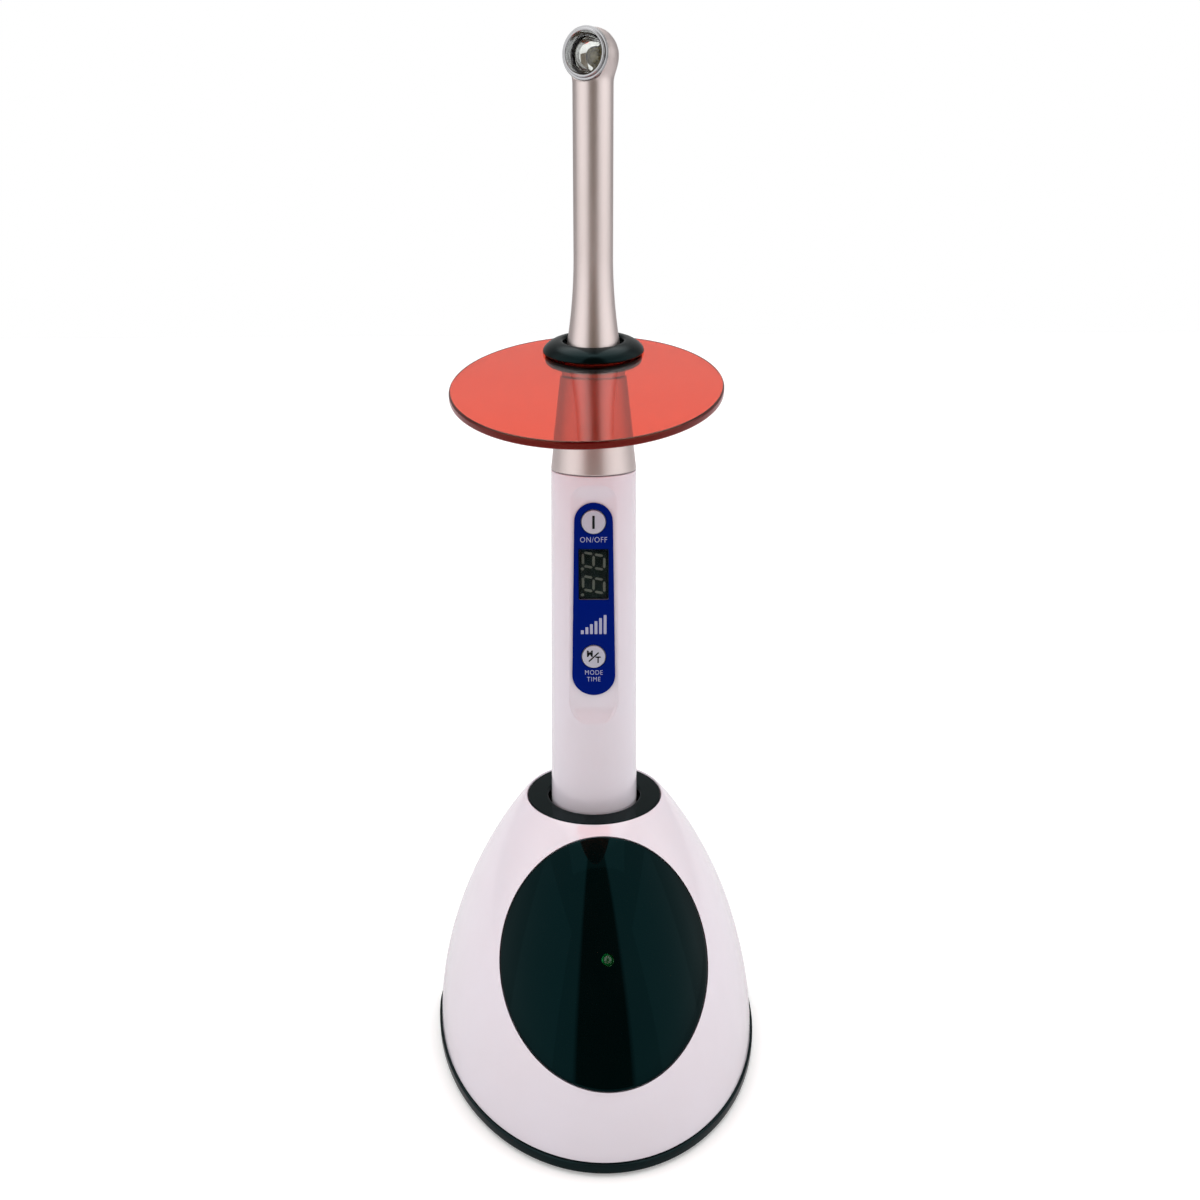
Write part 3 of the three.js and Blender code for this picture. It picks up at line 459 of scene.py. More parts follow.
def finishOf(name, **changes):
    # One surface finish: grain, handling marks, dust and rubbed edges over a base colour.
    look = {**finishStart, **changes}
    material = bpy.data.materials.new(name)
    material.use_nodes = True
    tree = material.node_tree
    shader = tree.nodes["Principled BSDF"]
    place = addNode(tree, "ShaderNodeTexCoord").outputs["Object"]
    run = addNode(tree, "ShaderNodeMapping", {"Vector": place, "Scale": look["stretch"]}).outputs[0]
    grain = placeGroup(tree, grainGroup, run, Scale=look["grain"], Drift=look["drift"])
    marks = placeGroup(tree, marksGroup, place, Size=look["markSize"], Amount=look["marks"])
    dust = placeGroup(tree, dustGroup, place, Amount=look["dust"])
    shade = look["shade"] or tuple(c * 0.86 for c in look["colour"])
    colour = mixed(tree, grain.outputs["Shade"], look["colour"], shade)
    if look["edge"]:
        rub = placeGroup(tree, edgeGroup, place, Amount=look["edge"])
        colour = mixed(tree, rub.outputs["Mask"], colour, look["edgeColour"])
    colour = mixed(tree, dust.outputs["Mask"], colour, (0.55, 0.54, 0.52))
    link(tree, colour, shader.inputs["Base Color"])
    rough = ramp(tree, marks.outputs["Smear"], 0.0, 1.0, look["rough"], look["rough"] + look["roughVary"])
    rough = sums(tree, "ADD", rough, product(tree, marks.outputs["Scratch"], 0.12))
    rough = sums(tree, "ADD", rough, product(tree, dust.outputs["Mask"], 0.4), clamp=True)
    link(tree, rough, shader.inputs["Roughness"])
    height = sums(tree, "SUBTRACT", grain.outputs["Height"], product(tree, marks.outputs["Scratch"], 0.5))
    bump = addNode(tree, "ShaderNodeBump", {"Strength": look["bump"], "Distance": look["deep"],
        "Height": height})
    link(tree, bump.outputs["Normal"], shader.inputs["Normal"])
    setPlain(shader, {"Metallic": look["metal"], "Coat Weight": look["coat"],
        "Coat Roughness": look["coatRough"], "IOR": look["ior"], "Specular IOR Level": look["shine"],
        "Specular Tint": (*look["shineTint"], 1.0), "Subsurface Weight": look["subsurface"],
        "Subsurface Radius": (0.001, 0.0008, 0.0008)})
    return material


def clearFinish(name, colour, rough=0.02, ior=1.49, shadow=(1, 1, 1), rim=None, **changes):
    # See-through plastic or glass that lets the lamps through.
    material = finishOf(name, colour=colour, rough=rough, ior=ior, **changes)
    tree = material.node_tree
    shader = tree.nodes["Principled BSDF"]
    shader.inputs["Transmission Weight"].default_value = 1.0
    if rim:
        # The rim of a clear sheet gets painted shade, a deeper red than its face, and a painted glow from
        # emission, standing in for light through its edge.
        normal = addNode(tree, "ShaderNodeNewGeometry").outputs["Normal"]
        upright = addNode(tree, "ShaderNodeVectorMath", {0: normal, 1: rim["facing"]},
            operation="DOT_PRODUCT")
        onPaintedRim = ramp(tree, sums(tree, "ABSOLUTE", upright.outputs["Value"]), 0.5, 0.85, 1.0, 0.0)
        face = shader.inputs["Base Color"].links[0].from_socket
        link(tree, mixed(tree, onPaintedRim, face, rim["colour"]), shader.inputs["Base Color"])
        link(tree, mixed(tree, onPaintedRim, (0.0, 0.0, 0.0), rim["paintedGlow"]), shader.inputs["Emission Color"])
        shader.inputs["Emission Strength"].default_value = 1.0
    through = addNode(tree, "ShaderNodeBsdfTransparent", {"Color": (*shadow, 1.0)})
    path = addNode(tree, "ShaderNodeLightPath")
    both = addNode(tree, "ShaderNodeMixShader", {0: path.outputs["Is Shadow Ray"]})
    link(tree, shader.outputs[0], both.inputs[1])
    link(tree, through.outputs[0], both.inputs[2])
    link(tree, both.outputs[0], tree.nodes["Material Output"].inputs["Surface"])
    return material


whiteGloss = finishOf("white gloss plastic", colour=(0.80, 0.75, 0.82), shade=(0.785, 0.73, 0.79), rough=0.1,
    roughVary=0.1, coat=0.35, bump=0.05, marks=0.35, dust=0.05, subsurface=0.06)
blackGloss = finishOf("black gloss plastic", colour=(0.0002, 0.0024, 0.0026), shade=(0.0002, 0.0018, 0.002),
    rough=0.04, roughVary=0.05, shine=0.1, shineTint=(0.22, 0.92, 1.0), bump=0.02, marks=0.5, dust=0.004)
blackSatin = finishOf("satin black plastic", colour=(0.001, 0.0045, 0.005), shine=0.16,
    shineTint=(0.5, 0.95, 1.0), rough=0.16, roughVary=0.12, bump=0.08, marks=0.5, dust=0.01, edge=0.15,
    edgeColour=(0.02, 0.024, 0.024))
blackMatt = finishOf("matt black plastic", colour=(0.008, 0.012, 0.0125), shine=0.3, rough=0.42,
    roughVary=0.12, grain=3500.0, bump=0.35, marks=0.4, dust=0.12, edge=0.3, edgeColour=(0.06, 0.065, 0.065))
rubberBlack = finishOf("smooth black rubber", colour=(0.0003, 0.0022, 0.0025), shine=0.12,
    shineTint=(0.45, 0.95, 1.0), rough=0.15, roughVary=0.18, grain=1600.0, bump=0.15, marks=0.6, dust=0.01)
roseMetal = finishOf("rose satin metal", colour=(0.645, 0.565, 0.55), shade=(0.61, 0.53, 0.51), rough=0.36,
    roughVary=0.06, metal=1.0, grain=5200.0, drift=22.0, bump=0.4, deep=0.00001, marks=0.25, edge=0.25,
    edgeColour=(0.8, 0.74, 0.72), dust=0.02)
chrome = finishOf("polished chrome", colour=(0.40, 0.40, 0.41), rough=0.05, roughVary=0.09, metal=1.0,
    bump=0.04, marks=0.8, dust=0.02)
mirrorCoat = finishOf("reflector coating", colour=(0.86, 0.87, 0.85), rough=0.04, roughVary=0.05, metal=1.0,
    grain=1400.0, bump=0.12, stretch=(0.2, 0.2, 3.0), dust=0.0)
steel = finishOf("plain steel", colour=(0.46, 0.46, 0.47), rough=0.3, roughVary=0.15, metal=1.0, bump=0.3,
    edge=0.5, marks=0.8)
brass = finishOf("gold-flashed brass", colour=(0.75, 0.56, 0.22), rough=0.2, roughVary=0.15, metal=1.0,
    bump=0.2, edge=0.4, edgeColour=(0.85, 0.72, 0.4), marks=0.9)
labelBlue = finishOf("blue membrane", colour=(0.0, 0.0095, 0.185), shade=(0.0, 0.0085, 0.16), rough=0.3,
    roughVary=0.14, grain=4500.0, bump=0.16, shine=0.035, shineTint=(0.5, 0.8, 1.0), marks=0.5, dust=0.002)
printWhite = finishOf("white print", colour=(0.44, 0.46, 0.62), shine=0.2, rough=0.4, grain=6000.0, bump=0.2,
    dust=0.0)
printBlack = finishOf("black print", colour=(0.002, 0.005, 0.006), shine=0.15, rough=0.35, grain=6000.0,
    bump=0.2, dust=0.0)
buttonGrey = finishOf("satin grey button", colour=(0.52, 0.53, 0.62), rough=0.3, roughVary=0.14, grain=4000.0,
    bump=0.25, marks=0.7)
digitGrey = finishOf("unlit display segment", colour=(0.29, 0.255, 0.225), shine=0.1, rough=0.35,
    grain=6000.0, bump=0.2, dust=0.0)
moduleBlack = finishOf("display face", colour=(0.002, 0.009, 0.009), shine=0.1, rough=0.35, grain=4000.0,
    bump=0.2, dust=0.02)
# Painted shade and painted glow for the shield's rim: a darker red and a faint red emission where the face
# turns edge-on.
shieldRimPaintedShadeAndGlow = {"colour": (0.3, 0.004, 0.006), "paintedGlow": (0.085, 0.0008, 0.002),
             "facing": tuple(shieldFrame.to_3x3().col[2])}
shieldOrange = clearFinish("orange filter acrylic", (0.84, 0.075, 0.035), rim=shieldRimPaintedShadeAndGlow, rough=0.015,
    shadow=(0.85, 0.13, 0.09), roughVary=0.03, shade=(0.83, 0.07, 0.032), shine=0.3,
    shineTint=(1.0, 0.4, 0.25), bump=0.02, marks=0.35, dust=0.02)
lensGlass = clearFinish("optical glass", (0.97, 0.98, 0.97), rough=0.01, ior=1.52, roughVary=0.02, bump=0.01,
    marks=0.2, dust=0.0)
smokedGlass = clearFinish("smoked window", (0.62, 0.7, 0.68), rough=0.03, ior=1.12, shadow=(0.35, 0.38, 0.37),
    roughVary=0.06, bump=0.03, dust=0.02)
lampGreen = clearFinish("green lamp body", (0.02, 0.24, 0.07), rough=0.1, shadow=(0.2, 0.7, 0.3),
    roughVary=0.1, bump=0.08, dust=0.0)
lampGlow = {"Emission Color": (0.0, 0.018, 0.004, 1.0), "Emission Strength": 1.0}
setPlain(lampGreen.node_tree.nodes["Principled BSDF"], lampGlow)
dieYellow = finishOf("emitter phosphor", colour=(0.16, 0.13, 0.035), rough=0.45, bump=0.5, dust=0.0)
circuitGreen = finishOf("green solder mask", colour=(0.015, 0.12, 0.045), shade=(0.012, 0.16, 0.06),
    rough=0.3, grain=900.0, drift=260.0, bump=0.4, coat=0.3)
sleeveBlue = finishOf("cell sleeve", colour=(0.03, 0.16, 0.42), rough=0.25, roughVary=0.12, grain=800.0,
    bump=0.25)
wireRed = finishOf("red wire cover", colour=(0.42, 0.012, 0.012), rough=0.4, bump=0.3)
wireBlack = finishOf("black wire cover", colour=(0.012, 0.012, 0.013), rough=0.4, bump=0.3)
print("materials ready:", len(bpy.data.materials))


# Geometry node building
def geometryTree(name, *inputs):
    inputs = [*inputs, ("Material", "Material", None)]
    return newTree(name, "GeometryNodeTree", inputs, [("Geometry", "Geometry")])


def closeTree(tree, start, end, made):
    real = addNode(tree, "GeometryNodeRealizeInstances", {"Geometry": made})
    painted = addNode(tree, "GeometryNodeSetMaterial",
        {"Geometry": real.outputs[0], "Material": start["Material"]})
    link(tree, painted.outputs[0], end["Geometry"])


def growFrom(name, tree, values, points=((0, 0, 0),), attributes=None, sharp=32):
    # Runs a tree on a bare set of points and keeps the plain mesh.
    mesh = bpy.data.meshes.new(name)
    mesh.from_pydata([tuple(p) for p in points], [], [])
    for label, data in (attributes or {}).items():
        mesh.attributes.new(label, "FLOAT_VECTOR", "POINT").data.foreach_set("vector",
            np.asarray(data, float).ravel())
    piece = addObject(name, mesh)
    grow = piece.modifiers.new("grow", "NODES")
    grow.node_group = tree
    sockets = {item.name: item.identifier for item in tree.interface.items_tree if item.in_out == "INPUT"}
    for label, value in values.items():
        grow[sockets[label]] = value
    settle(piece, sharp, True)
    for field in list(piece.data.attributes):
        if field.name in ("turn", "size"):
            piece.data.attributes.remove(field)
    return piece


# One small piece set on many points, each with its own turn and size.
setTree, setIn, setOut = geometryTree(
    "set on points", ("Geometry", "Geometry", None), ("Piece", "Object", None), ("Scale", "Float", 1.0))
pieceInfo = addNode(setTree, "GeometryNodeObjectInfo", {"Object": setIn["Piece"]}, transform_space="ORIGINAL")
turnField = addNode(setTree, "GeometryNodeInputNamedAttribute", {"Name": "turn"}, data_type="FLOAT_VECTOR")
sizeField = addNode(setTree, "GeometryNodeInputNamedAttribute", {"Name": "size"}, data_type="FLOAT_VECTOR")
sized = addNode(setTree, "ShaderNodeVectorMath", {0: sizeField.outputs[0], "Scale": setIn["Scale"]},
                operation="SCALE")
setHere = addNode(setTree, "GeometryNodeInstanceOnPoints", {
    "Points": setIn["Geometry"], "Instance": pieceInfo.outputs["Geometry"], "Scale": sized.outputs[0]})
link(setTree, turnField.outputs[0], setHere.inputs["Rotation"])
closeTree(setTree, setIn, setOut, setHere.outputs[0])


def setOnPoints(name, piece, material, spots, place, turns=None, sizes=None):
    # Spots, turns and sizes are in the place's own frame.
    count = len(spots)
    frameTurn = place.to_3x3()
    eulers = [tuple((frameTurn @ t).to_euler()) for t in (turns or [Matrix.Identity(3)] * count)]
    made = growFrom(name, setTree, {"Piece": piece, "Scale": 1.0, "Material": material}, placed(spots, place),
                    {"turn": eulers, "size": sizes or [(1, 1, 1)] * count})
    discard(piece)
    return made


# A wound wire spring.
coilTree, coilIn, coilOut = geometryTree(
    "wound spring",
    ("Radius", "Float", 0.001), ("Wire", "Float", 0.0002), ("Height", "Float", 0.01), ("Turns", "Float", 6.0),
    ("Foot", "Vector", None))
spiral = addNode(coilTree, "GeometryNodeCurveSpiral",
    {"Resolution": 28, "Rotations": coilIn["Turns"], "Start Radius": coilIn["Radius"],
     "End Radius": coilIn["Radius"], "Height": coilIn["Height"]})
wireRound = addNode(coilTree, "GeometryNodeCurvePrimitiveCircle",
    {"Resolution": 10, "Radius": coilIn["Wire"]})
woundWire = addNode(coilTree, "GeometryNodeCurveToMesh",
    {"Curve": spiral.outputs[0], "Profile Curve": wireRound.outputs[0], "Fill Caps": True})
seated = addNode(coilTree, "GeometryNodeTransform",
    {"Geometry": woundWire.outputs[0], "Translation": coilIn["Foot"]})
closeTree(coilTree, coilIn, coilOut, seated.outputs[0])


# The base
shellLook = {"around": 192, "levels": 90, "halfWidth": 51.5, "front": 75.5, "rear": 44.0, "rim": 22.0,
             "rise": 1.9, "round": 1.1, "wall": 3.2, "ledgeDrop": 7.0, "ledgeThick": 2.0, "rimWall": 0.6,
             "cupRoom": 16.7, "jackHole": 4.3, "lampHole": 1.8}
windowLook = {"halfWide": 31.0, "halfHigh": 35.1, "depth": 1.7, "tilt": 32.4, "start": 0.25625, "gap": 0.22,
              "edge": 0.35, "rings": 44, "around": 144}

# The shell's wall: a grid whose points swell out from the rim by one rule.
swellTree, shellIn, shellOut = geometryTree("swelling shell", ("Top", "Float", 0.08),
    ("Low", "Float", 0.0043), ("High", "Float", 0.08), ("Half Width", "Float", 0.0515),
    ("Front", "Float", 0.0755), ("Rear", "Float", 0.044), ("Rim", "Float", 0.022), ("Rise", "Float", 1.9),
    ("Round", "Float", 1.1), ("Inset", "Float", 0.0), ("Socket", "Vector", None), ("Around", "Int", 192),
    ("Levels", "Int", 90))


def swell(how, first, second=0.0, third=0.0):
    return sums(swellTree, how, first, second, third)


wall = addNode(swellTree, "GeometryNodeMeshGrid",
               {"Size X": 1.0, "Size Y": 1.0, "Vertices X": swell("ADD", shellIn["Around"], 1.0),
                "Vertices Y": shellIn["Levels"]})
spot = addNode(swellTree, "ShaderNodeSeparateXYZ",
               {"Vector": addNode(swellTree, "GeometryNodeInputPosition").outputs[0]})
angle = swell("MULTIPLY", swell("ADD", spot.outputs["X"], 0.5), 2 * math.pi)
share = swell("SUBTRACT", 1.0, swell("POWER", swell("SUBTRACT", 0.5, spot.outputs["Y"]), 1.7))
height = swell("MULTIPLY_ADD", share, swell("SUBTRACT", shellIn["High"], shellIn["Low"]), shellIn["Low"])
above = swell("DIVIDE", swell("MAXIMUM", height, 0.0), shellIn["Top"])
fall = swell("MAXIMUM", swell("SUBTRACT", 1.0, swell("POWER", above, shellIn["Rise"])), 0.0)
swelling = swell("POWER", fall, swell("DIVIDE", 1.0, shellIn["Round"]))


def reachOf(extent):
    spread = swell("MULTIPLY", swell("SUBTRACT", extent, shellIn["Rim"]), swelling)
    return swell("SUBTRACT", swell("ADD", spread, shellIn["Rim"]), shellIn["Inset"])


sine = swell("SINE", angle)
inFront = swell("LESS_THAN", sine, 0.0)
along = swell("ADD", swell("MULTIPLY", reachOf(shellIn["Front"]), inFront),
              swell("MULTIPLY", reachOf(shellIn["Rear"]), swell("SUBTRACT", 1.0, inFront)))
onShell = addNode(swellTree, "ShaderNodeCombineXYZ",
    {"X": swell("MULTIPLY", reachOf(shellIn["Half Width"]), swell("COSINE", angle)),
     "Y": swell("MULTIPLY", along, sine), "Z": height})
moved = addNode(swellTree, "ShaderNodeVectorMath", {0: onShell.outputs[0], 1: shellIn["Socket"]},
                operation="ADD")
bent = addNode(swellTree, "GeometryNodeSetPosition",
               {"Geometry": wall.outputs["Mesh"], "Position": moved.outputs[0]})
sewn = addNode(swellTree, "GeometryNodeMergeByDistance", {"Geometry": bent.outputs[0], "Distance": 1e-6})
closeTree(swellTree, shellIn, shellOut, sewn.outputs[0])


def shellSolid(name, inset, low, high, around=None, levels=None):
    # The rule's wall with its two ends filled.
    look = shellLook
    piece = growFrom(name, swellTree, {"Top": baseTop * mm, "Low": low * mm, "High": high * mm,
        "Half Width": look["halfWidth"] * mm, "Front": look["front"] * mm, "Rear": look["rear"] * mm,
        "Rim": look["rim"] * mm, "Rise": look["rise"], "Round": look["round"], "Inset": inset * mm,
        "Socket": tuple(Vector((pinSpot.x, pinSpot.y, 0)) * mm), "Around": around or look["around"],
        "Levels": levels or look["levels"], "Material": whiteGloss}, sharp=40)
    work = bmesh.new()
    work.from_mesh(piece.data)
    bmesh.ops.holes_fill(work, edges=[e for e in work.edges if e.is_boundary], sides=0)
    bmesh.ops.recalc_face_normals(work, faces=work.faces)
    work.to_mesh(piece.data)
    work.free()
    return piece


def reachAt(extent, z):
    fallen = np.clip(1 - (np.clip(z, 0, baseTop) / baseTop) ** shellLook["rise"], 0, 1)
    return shellLook["rim"] + (extent - shellLook["rim"]) * fallen ** (1 / shellLook["round"])


def planReach(inFront, z, inset):
    # The shell's half width and half depth at a height.
    side = reachAt(shellLook["halfWidth"], z) - inset
    return side, reachAt(np.where(inFront, shellLook["front"], shellLook["rear"]), z) - inset


tilt = math.radians(windowLook["tilt"])
windowStart = np.array([0, 0, baseTop * windowLook["start"]])
windowAxis = np.array([0, -math.cos(tilt), math.sin(tilt)])
windowUp = np.array([0, math.sin(tilt), math.cos(tilt)])
windowFrame = baseFrame @ Matrix.Translation(windowStart) @ turnedBy(90 - windowLook["tilt"], "X")


def ontoShell(across, upward, inset=0.0):
    # Where rays along the window's axis leave the shell.
    start = windowStart + np.multiply.outer(across, [1, 0, 0]) + np.multiply.outer(upward, windowUp)

    def isInside(t):
        spots = start + t[..., None] * windowAxis
        side, long = planReach(spots[..., 1] < 0, spots[..., 2], inset)
        return ((spots[..., 0] / side) ** 2 + (spots[..., 1] / long) ** 2 < 1) & (spots[..., 2] < baseTop)

    return start + reachOut(isInside, across.shape, 90.0, 40)[..., None] * windowAxis


def windowRing(shareOut, pull=0.0, inset=0.0, grow=0.0):
    # One ring of the window, from the lamp's hole (0) to the rim (1).
    look = windowLook
    turn = turnsOf(look["around"])
    hole = shellLook["lampHole"]
    wide = hole + (look["halfWide"] - look["gap"] + grow - hole) * shareOut
    high = hole + (look["halfHigh"] - look["gap"] + grow - hole) * shareOut
    return ontoShell(wide * np.cos(turn), high * np.sin(turn), inset) - pull * windowAxis


def makeShell():
    look, gone = shellLook, windowLook
    shell = shellSolid("baseShell", 0, lowest("base_shell"), baseTop)
    hollow = shellSolid("hollow", look["wall"], lowest("base_shell") - 5, baseTop - look["ledgeDrop"], 96, 30)
    edge = gone["gap"] * 0.2
    wide, high = gone["halfWide"] + edge, gone["halfHigh"] + edge
    prism = gridPiece("prism", [[(wide * math.cos(a), high * math.sin(a), z) for a in turnsOf(160)]
        for z in (30, 110)], windowFrame)
    carve(prism, [shellSolid("behind", gone["depth"] + 0.3, 0, baseTop, 128, 60)])
    ledge, rim = baseTop - look["ledgeDrop"] + look["ledgeThick"], look["rim"] - look["rimWall"]
    rimBore = lathe("rimBore", [(0, ledge), (rim, ledge), (rim, baseTop - 0.25), (rim + 0.2, baseTop + 0.01),
                                (look["rim"] + 2, baseTop + 5), (0, baseTop + 5)])
    jack = look["jackHole"]
    jackTurn = baseFrame @ Matrix.Translation((0, 20, middle("power_inlet").z)) @ turnedBy(-90, "X")
    jackHole = lathe("jackHole", [(0, 0), (jack, 0), (jack, 21.5), (jack + 1.2, 24), (jack + 1.2, 30),
        (0, 30)], jackTurn)
    lampHole = drum(look["lampHole"], 30, 90, windowFrame, 48)
    return carve(shell, [hollow, prism, rimBore, drum(look["cupRoom"], ledge - 5, ledge + 5), lampHole,
        jackHole], sharp=28)


shell = wear(makeShell(), whiteGloss, "charger_base", ["base_shell"])
print("base shell:", len(shell.data.polygons), "faces")


def makeWindow():
    look = windowLook
    edge, depth = look["edge"], look["depth"]
    rows = [windowRing(s) for s in np.linspace(0, 1, look["rings"])[:-1]]
    rows += [windowRing(1.0, edge * (1 - math.cos(a)), 0, -edge * (1 - math.sin(a))) for a in quarter(5)]
    rows += [windowRing(1.0, 0, depth), windowRing(0.5, 0, depth), windowRing(0.0, 0, depth)]
    return gridPiece("frontWindow", rows, baseFrame, loop=True, sharp=40)


wear(makeWindow(), blackGloss, "charger_base", ["front_window"])

plateLook = {"lip": 0.8, "bottom": 1.0, "top": 4.0, "edge": 0.6, "topEdge": 0.25, "around": 200,
             "floorInset": 3.2, "wallInset": (3.5, 5.1), "wallTop": 7.0, "footWell": 5.3, "footDeep": 2.5,
             "headWell": 2.9, "headDeep": 3.2}
footNames = [f"rubber_foot_{i}" for i in (1, 2, 3, 4)]
screwNames = [f"base_screw_{i}" for i in (1, 2, 3, 4)]
footSpots = [middle(name) for name in footNames]
screwSpots = [middle(name) for name in screwNames]


def planRow(z, inset):
    turn = turnsOf(plateLook["around"])
    side, long = planReach(np.sin(turn) < 0, lowest("base_shell"), inset)
    return np.stack([side * np.cos(turn), long * np.sin(turn), np.full(len(turn), z)], 1)


def makePlate():
    look = plateLook
    low, top, edge, topEdge = look["bottom"], look["top"], look["edge"], look["topEdge"]
    outline = [(look["lip"] - edge * (1 - math.sin(a)), low + edge * (1 - math.cos(a))) for a in quarter(6)]
    outline += [(look["lip"] - topEdge * (1 - math.cos(a)), top - topEdge * (1 - math.sin(a)))
                for a in quarter(4)]
    rows = [planRow(z, -out) for out, z in [(-look["floorInset"], low)] + outline]
    outer, inner = look["wallInset"]
    rows += [planRow(top, outer), planRow(look["wallTop"], outer), planRow(look["wallTop"], inner),
             planRow(top, inner)]
    wells = [(spots, look[well], look[deep]) for spots, well, deep in
             ((footSpots, "footWell", "footDeep"), (screwSpots, "headWell", "headDeep"))]
    tools = [drum(radius, -5, deep, Matrix.Translation((s.x, s.y, 0))) for spots, radius, deep in wells
             for s in spots]
    return carve(gridPiece("bottomPlate", rows, baseFrame), tools)


wear(makePlate(), blackSatin, "charger_base", ["bottom_plate"])

footLook = {"radius": 5.0, "high": 2.2}
footProfile = [(0, 0.15), (1.2, 0.15, 0), (1.5, 0.0, 0), (2.4, 0.0, 0), (2.7, 0.15, 0), (3.2, 0.15, 0),
               (3.5, 0.0, 0), (footLook["radius"], 0.0, 0.4), (footLook["radius"], footLook["high"]),
               (0, footLook["high"])]
footShape = lathe("footShape", softened(footProfile, 0.2), noTurn, 48)
feet = setOnPoints("rubberFeet", footShape, rubberBlack, [(s.x, s.y, 0) for s in footSpots], noTurn)
wear(feet, rubberBlack, "charger_base", footNames)

screwLook = {"head": 2.6, "headHigh": 1.6, "shank": 1.1, "long": 11.0, "slot": 0.45, "slotDeep": 1.0,
             "arm": 1.6, "pitch": 0.9}


def makeScrew():
    look = screwLook
    headHigh, shank, slot = look["headHigh"], look["shank"], look["slot"] / 2
    profile = [(0, 0.0), (1.4, 0.0, 0), (look["head"], 0.35, 0.2), (look["head"], headHigh, 0.15),
               (shank, headHigh, 0)]
    z = headHigh + 0.6
    while z < headHigh + look["long"] - 2.6:
        profile += [(shank * 0.72, z, 0), (shank, z + look["pitch"] / 2, 0)]
        z += look["pitch"]
    profile += [(shank * 0.7, z, 0), (0, headHigh + look["long"] - 1)]
    screw = lathe("screwShape", softened(profile, 0.2), noTurn, 32)
    arms = [(look["arm"], slot), (slot, look["arm"])]
    return carve(screw, [block(-x, x, -y, y, -1, look["slotDeep"], noTurn) for x, y in arms])


screwTurns = [Matrix.Rotation(math.radians(t), 3, "Z") for t in (12, 64, 33, 81)]
screwFoot = lowest("base_screw_1")
screws = setOnPoints("baseScrews", makeScrew(), steel, [(s.x, s.y, screwFoot) for s in screwSpots], noTurn,
    screwTurns)
wear(screws, steel, "charger_base", screwNames)

# The socket: a glossy ring over a plain cup.
socketLook = {"bore": 14.5, "ring": 21.1, "cupWall": 1.9, "floor": 3.0, "hole": 9.0, "flange": 1.7}
socketBore, socketRim, cupFloor = socketLook["bore"], socketLook["ring"], socketLook["floor"]
ringLow, ringHigh = lowest("socket_ring"), highest("socket_ring")
ringProfile = [(socketBore, ringLow, 0.1), (socketRim, ringLow, 0.1), (socketRim, ringHigh, 0.25),
               (socketBore + 0.35, ringHigh, 0.5), (socketBore, ringHigh - 0.9, 0.4)]
wear(lathe("socketRing", softened(ringProfile, 0.3, 5, True), baseFrame, 128), blackGloss, "charger_base",
     ["socket_ring"])
cupLow, cupHigh = lowest("socket_cup"), highest("socket_cup")
cupOuter, cupHole = socketBore + socketLook["cupWall"], socketLook["hole"]
flangeLow = cupHigh - socketLook["flange"]
cupProfile = [(cupHole, cupLow), (cupOuter, cupLow), (cupOuter, flangeLow), (socketRim, flangeLow),
              (socketRim, cupHigh), (socketBore, cupHigh), (socketBore, cupLow + cupFloor, 0.8),
              (cupHole, cupLow + cupFloor)]
wear(lathe("socketCup", softened(cupProfile, 0.25, 3, True)), blackSatin, "charger_base",
     ["socket_cup"])

jackLook = {"nose": 4.0, "bore": 2.75, "deep": 11.0, "pin": 1.0, "body": 9.0, "bodyHigh": 11.0,
            "bodyDeep": 12.0, "noseLong": 4.0}


def makeJack():
    look = jackLook
    low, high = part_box("power_inlet")
    place = Matrix.Translation(((low.x + high.x) / 2 / mm, high.y / mm,
        (low.z + high.z) / 2 / mm)) @ turnedBy(-90, "X")
    half, tall, rear = look["body"] / 2, look["bodyHigh"] / 2, -look["noseLong"]
    boreRadius, deep, pinRadius = look["bore"], -look["deep"], look["pin"]
    body = bevelled(block(-half, half, -tall, tall, rear - look["bodyDeep"], rear, place), 0.4)
    noseProfile = [(0, rear - 1), (look["nose"], rear - 1), (look["nose"], 0, 0.3), (0, 0)]
    carve(body, [lathe("nose", softened(noseProfile, 0.2), place, 72)], "UNION")
    boreProfile = [(0, deep), (boreRadius, deep), (boreRadius, -0.35), (boreRadius + 0.35, 0.01),
                   (boreRadius + 0.35, 2), (0, 2)]
    carve(body, [lathe("bore", boreProfile, place, 72)])
    pinProfile = [(0, deep - 1), (pinRadius, deep - 1), (pinRadius, -1.2, 0.6), (0, -1.0)]
    return body, lathe("pin", softened(pinProfile, 0.2), place, 48)


jackBody, jackPin = makeJack()
wear(joined("powerInlet", [jackBody]), blackMatt, "charger_base", ["power_inlet"])
wear(joined("inletPin", [jackPin]), brass, "charger_base")

lampLook = {"radius": 1.5, "long": 7.0, "proud": 0.5}
surfaceAt = float(np.linalg.norm(ontoShell(np.array([0.0]), np.array([0.0]))[0] - windowStart))
lampTip, lampRadius = surfaceAt + lampLook["proud"], lampLook["radius"]
lampProfile = [(0, lampTip - lampLook["long"]), (lampRadius, lampTip - lampLook["long"])]
lampProfile += [(lampRadius * math.cos(a), lampTip - lampRadius * (1 - math.sin(a)))
                for a in quarter(12)[:-1]]
lamp = lathe("indicatorLamp", lampProfile + [(0, lampTip)], windowFrame, 48)
wear(lamp, lampGreen, "charger_base", ["indicator_lamp"])

pinLook = {"radius": 1.1, "flange": 1.6, "flangeThick": 1.7, "travel": 1.5, "springRadius": 1.25,
           "springWire": 0.25, "springTurns": 6.0}


def makeSpring(name, node, x, y, radius, wire, turns):
    low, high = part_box(node)
    return growFrom(name, coilTree, {
        "Radius": radius * mm, "Wire": wire * mm, "Height": high.z - low.z - 2 * wire * mm, "Turns": turns,
        "Foot": (x * mm, y * mm, low.z + wire * mm), "Material": steel})


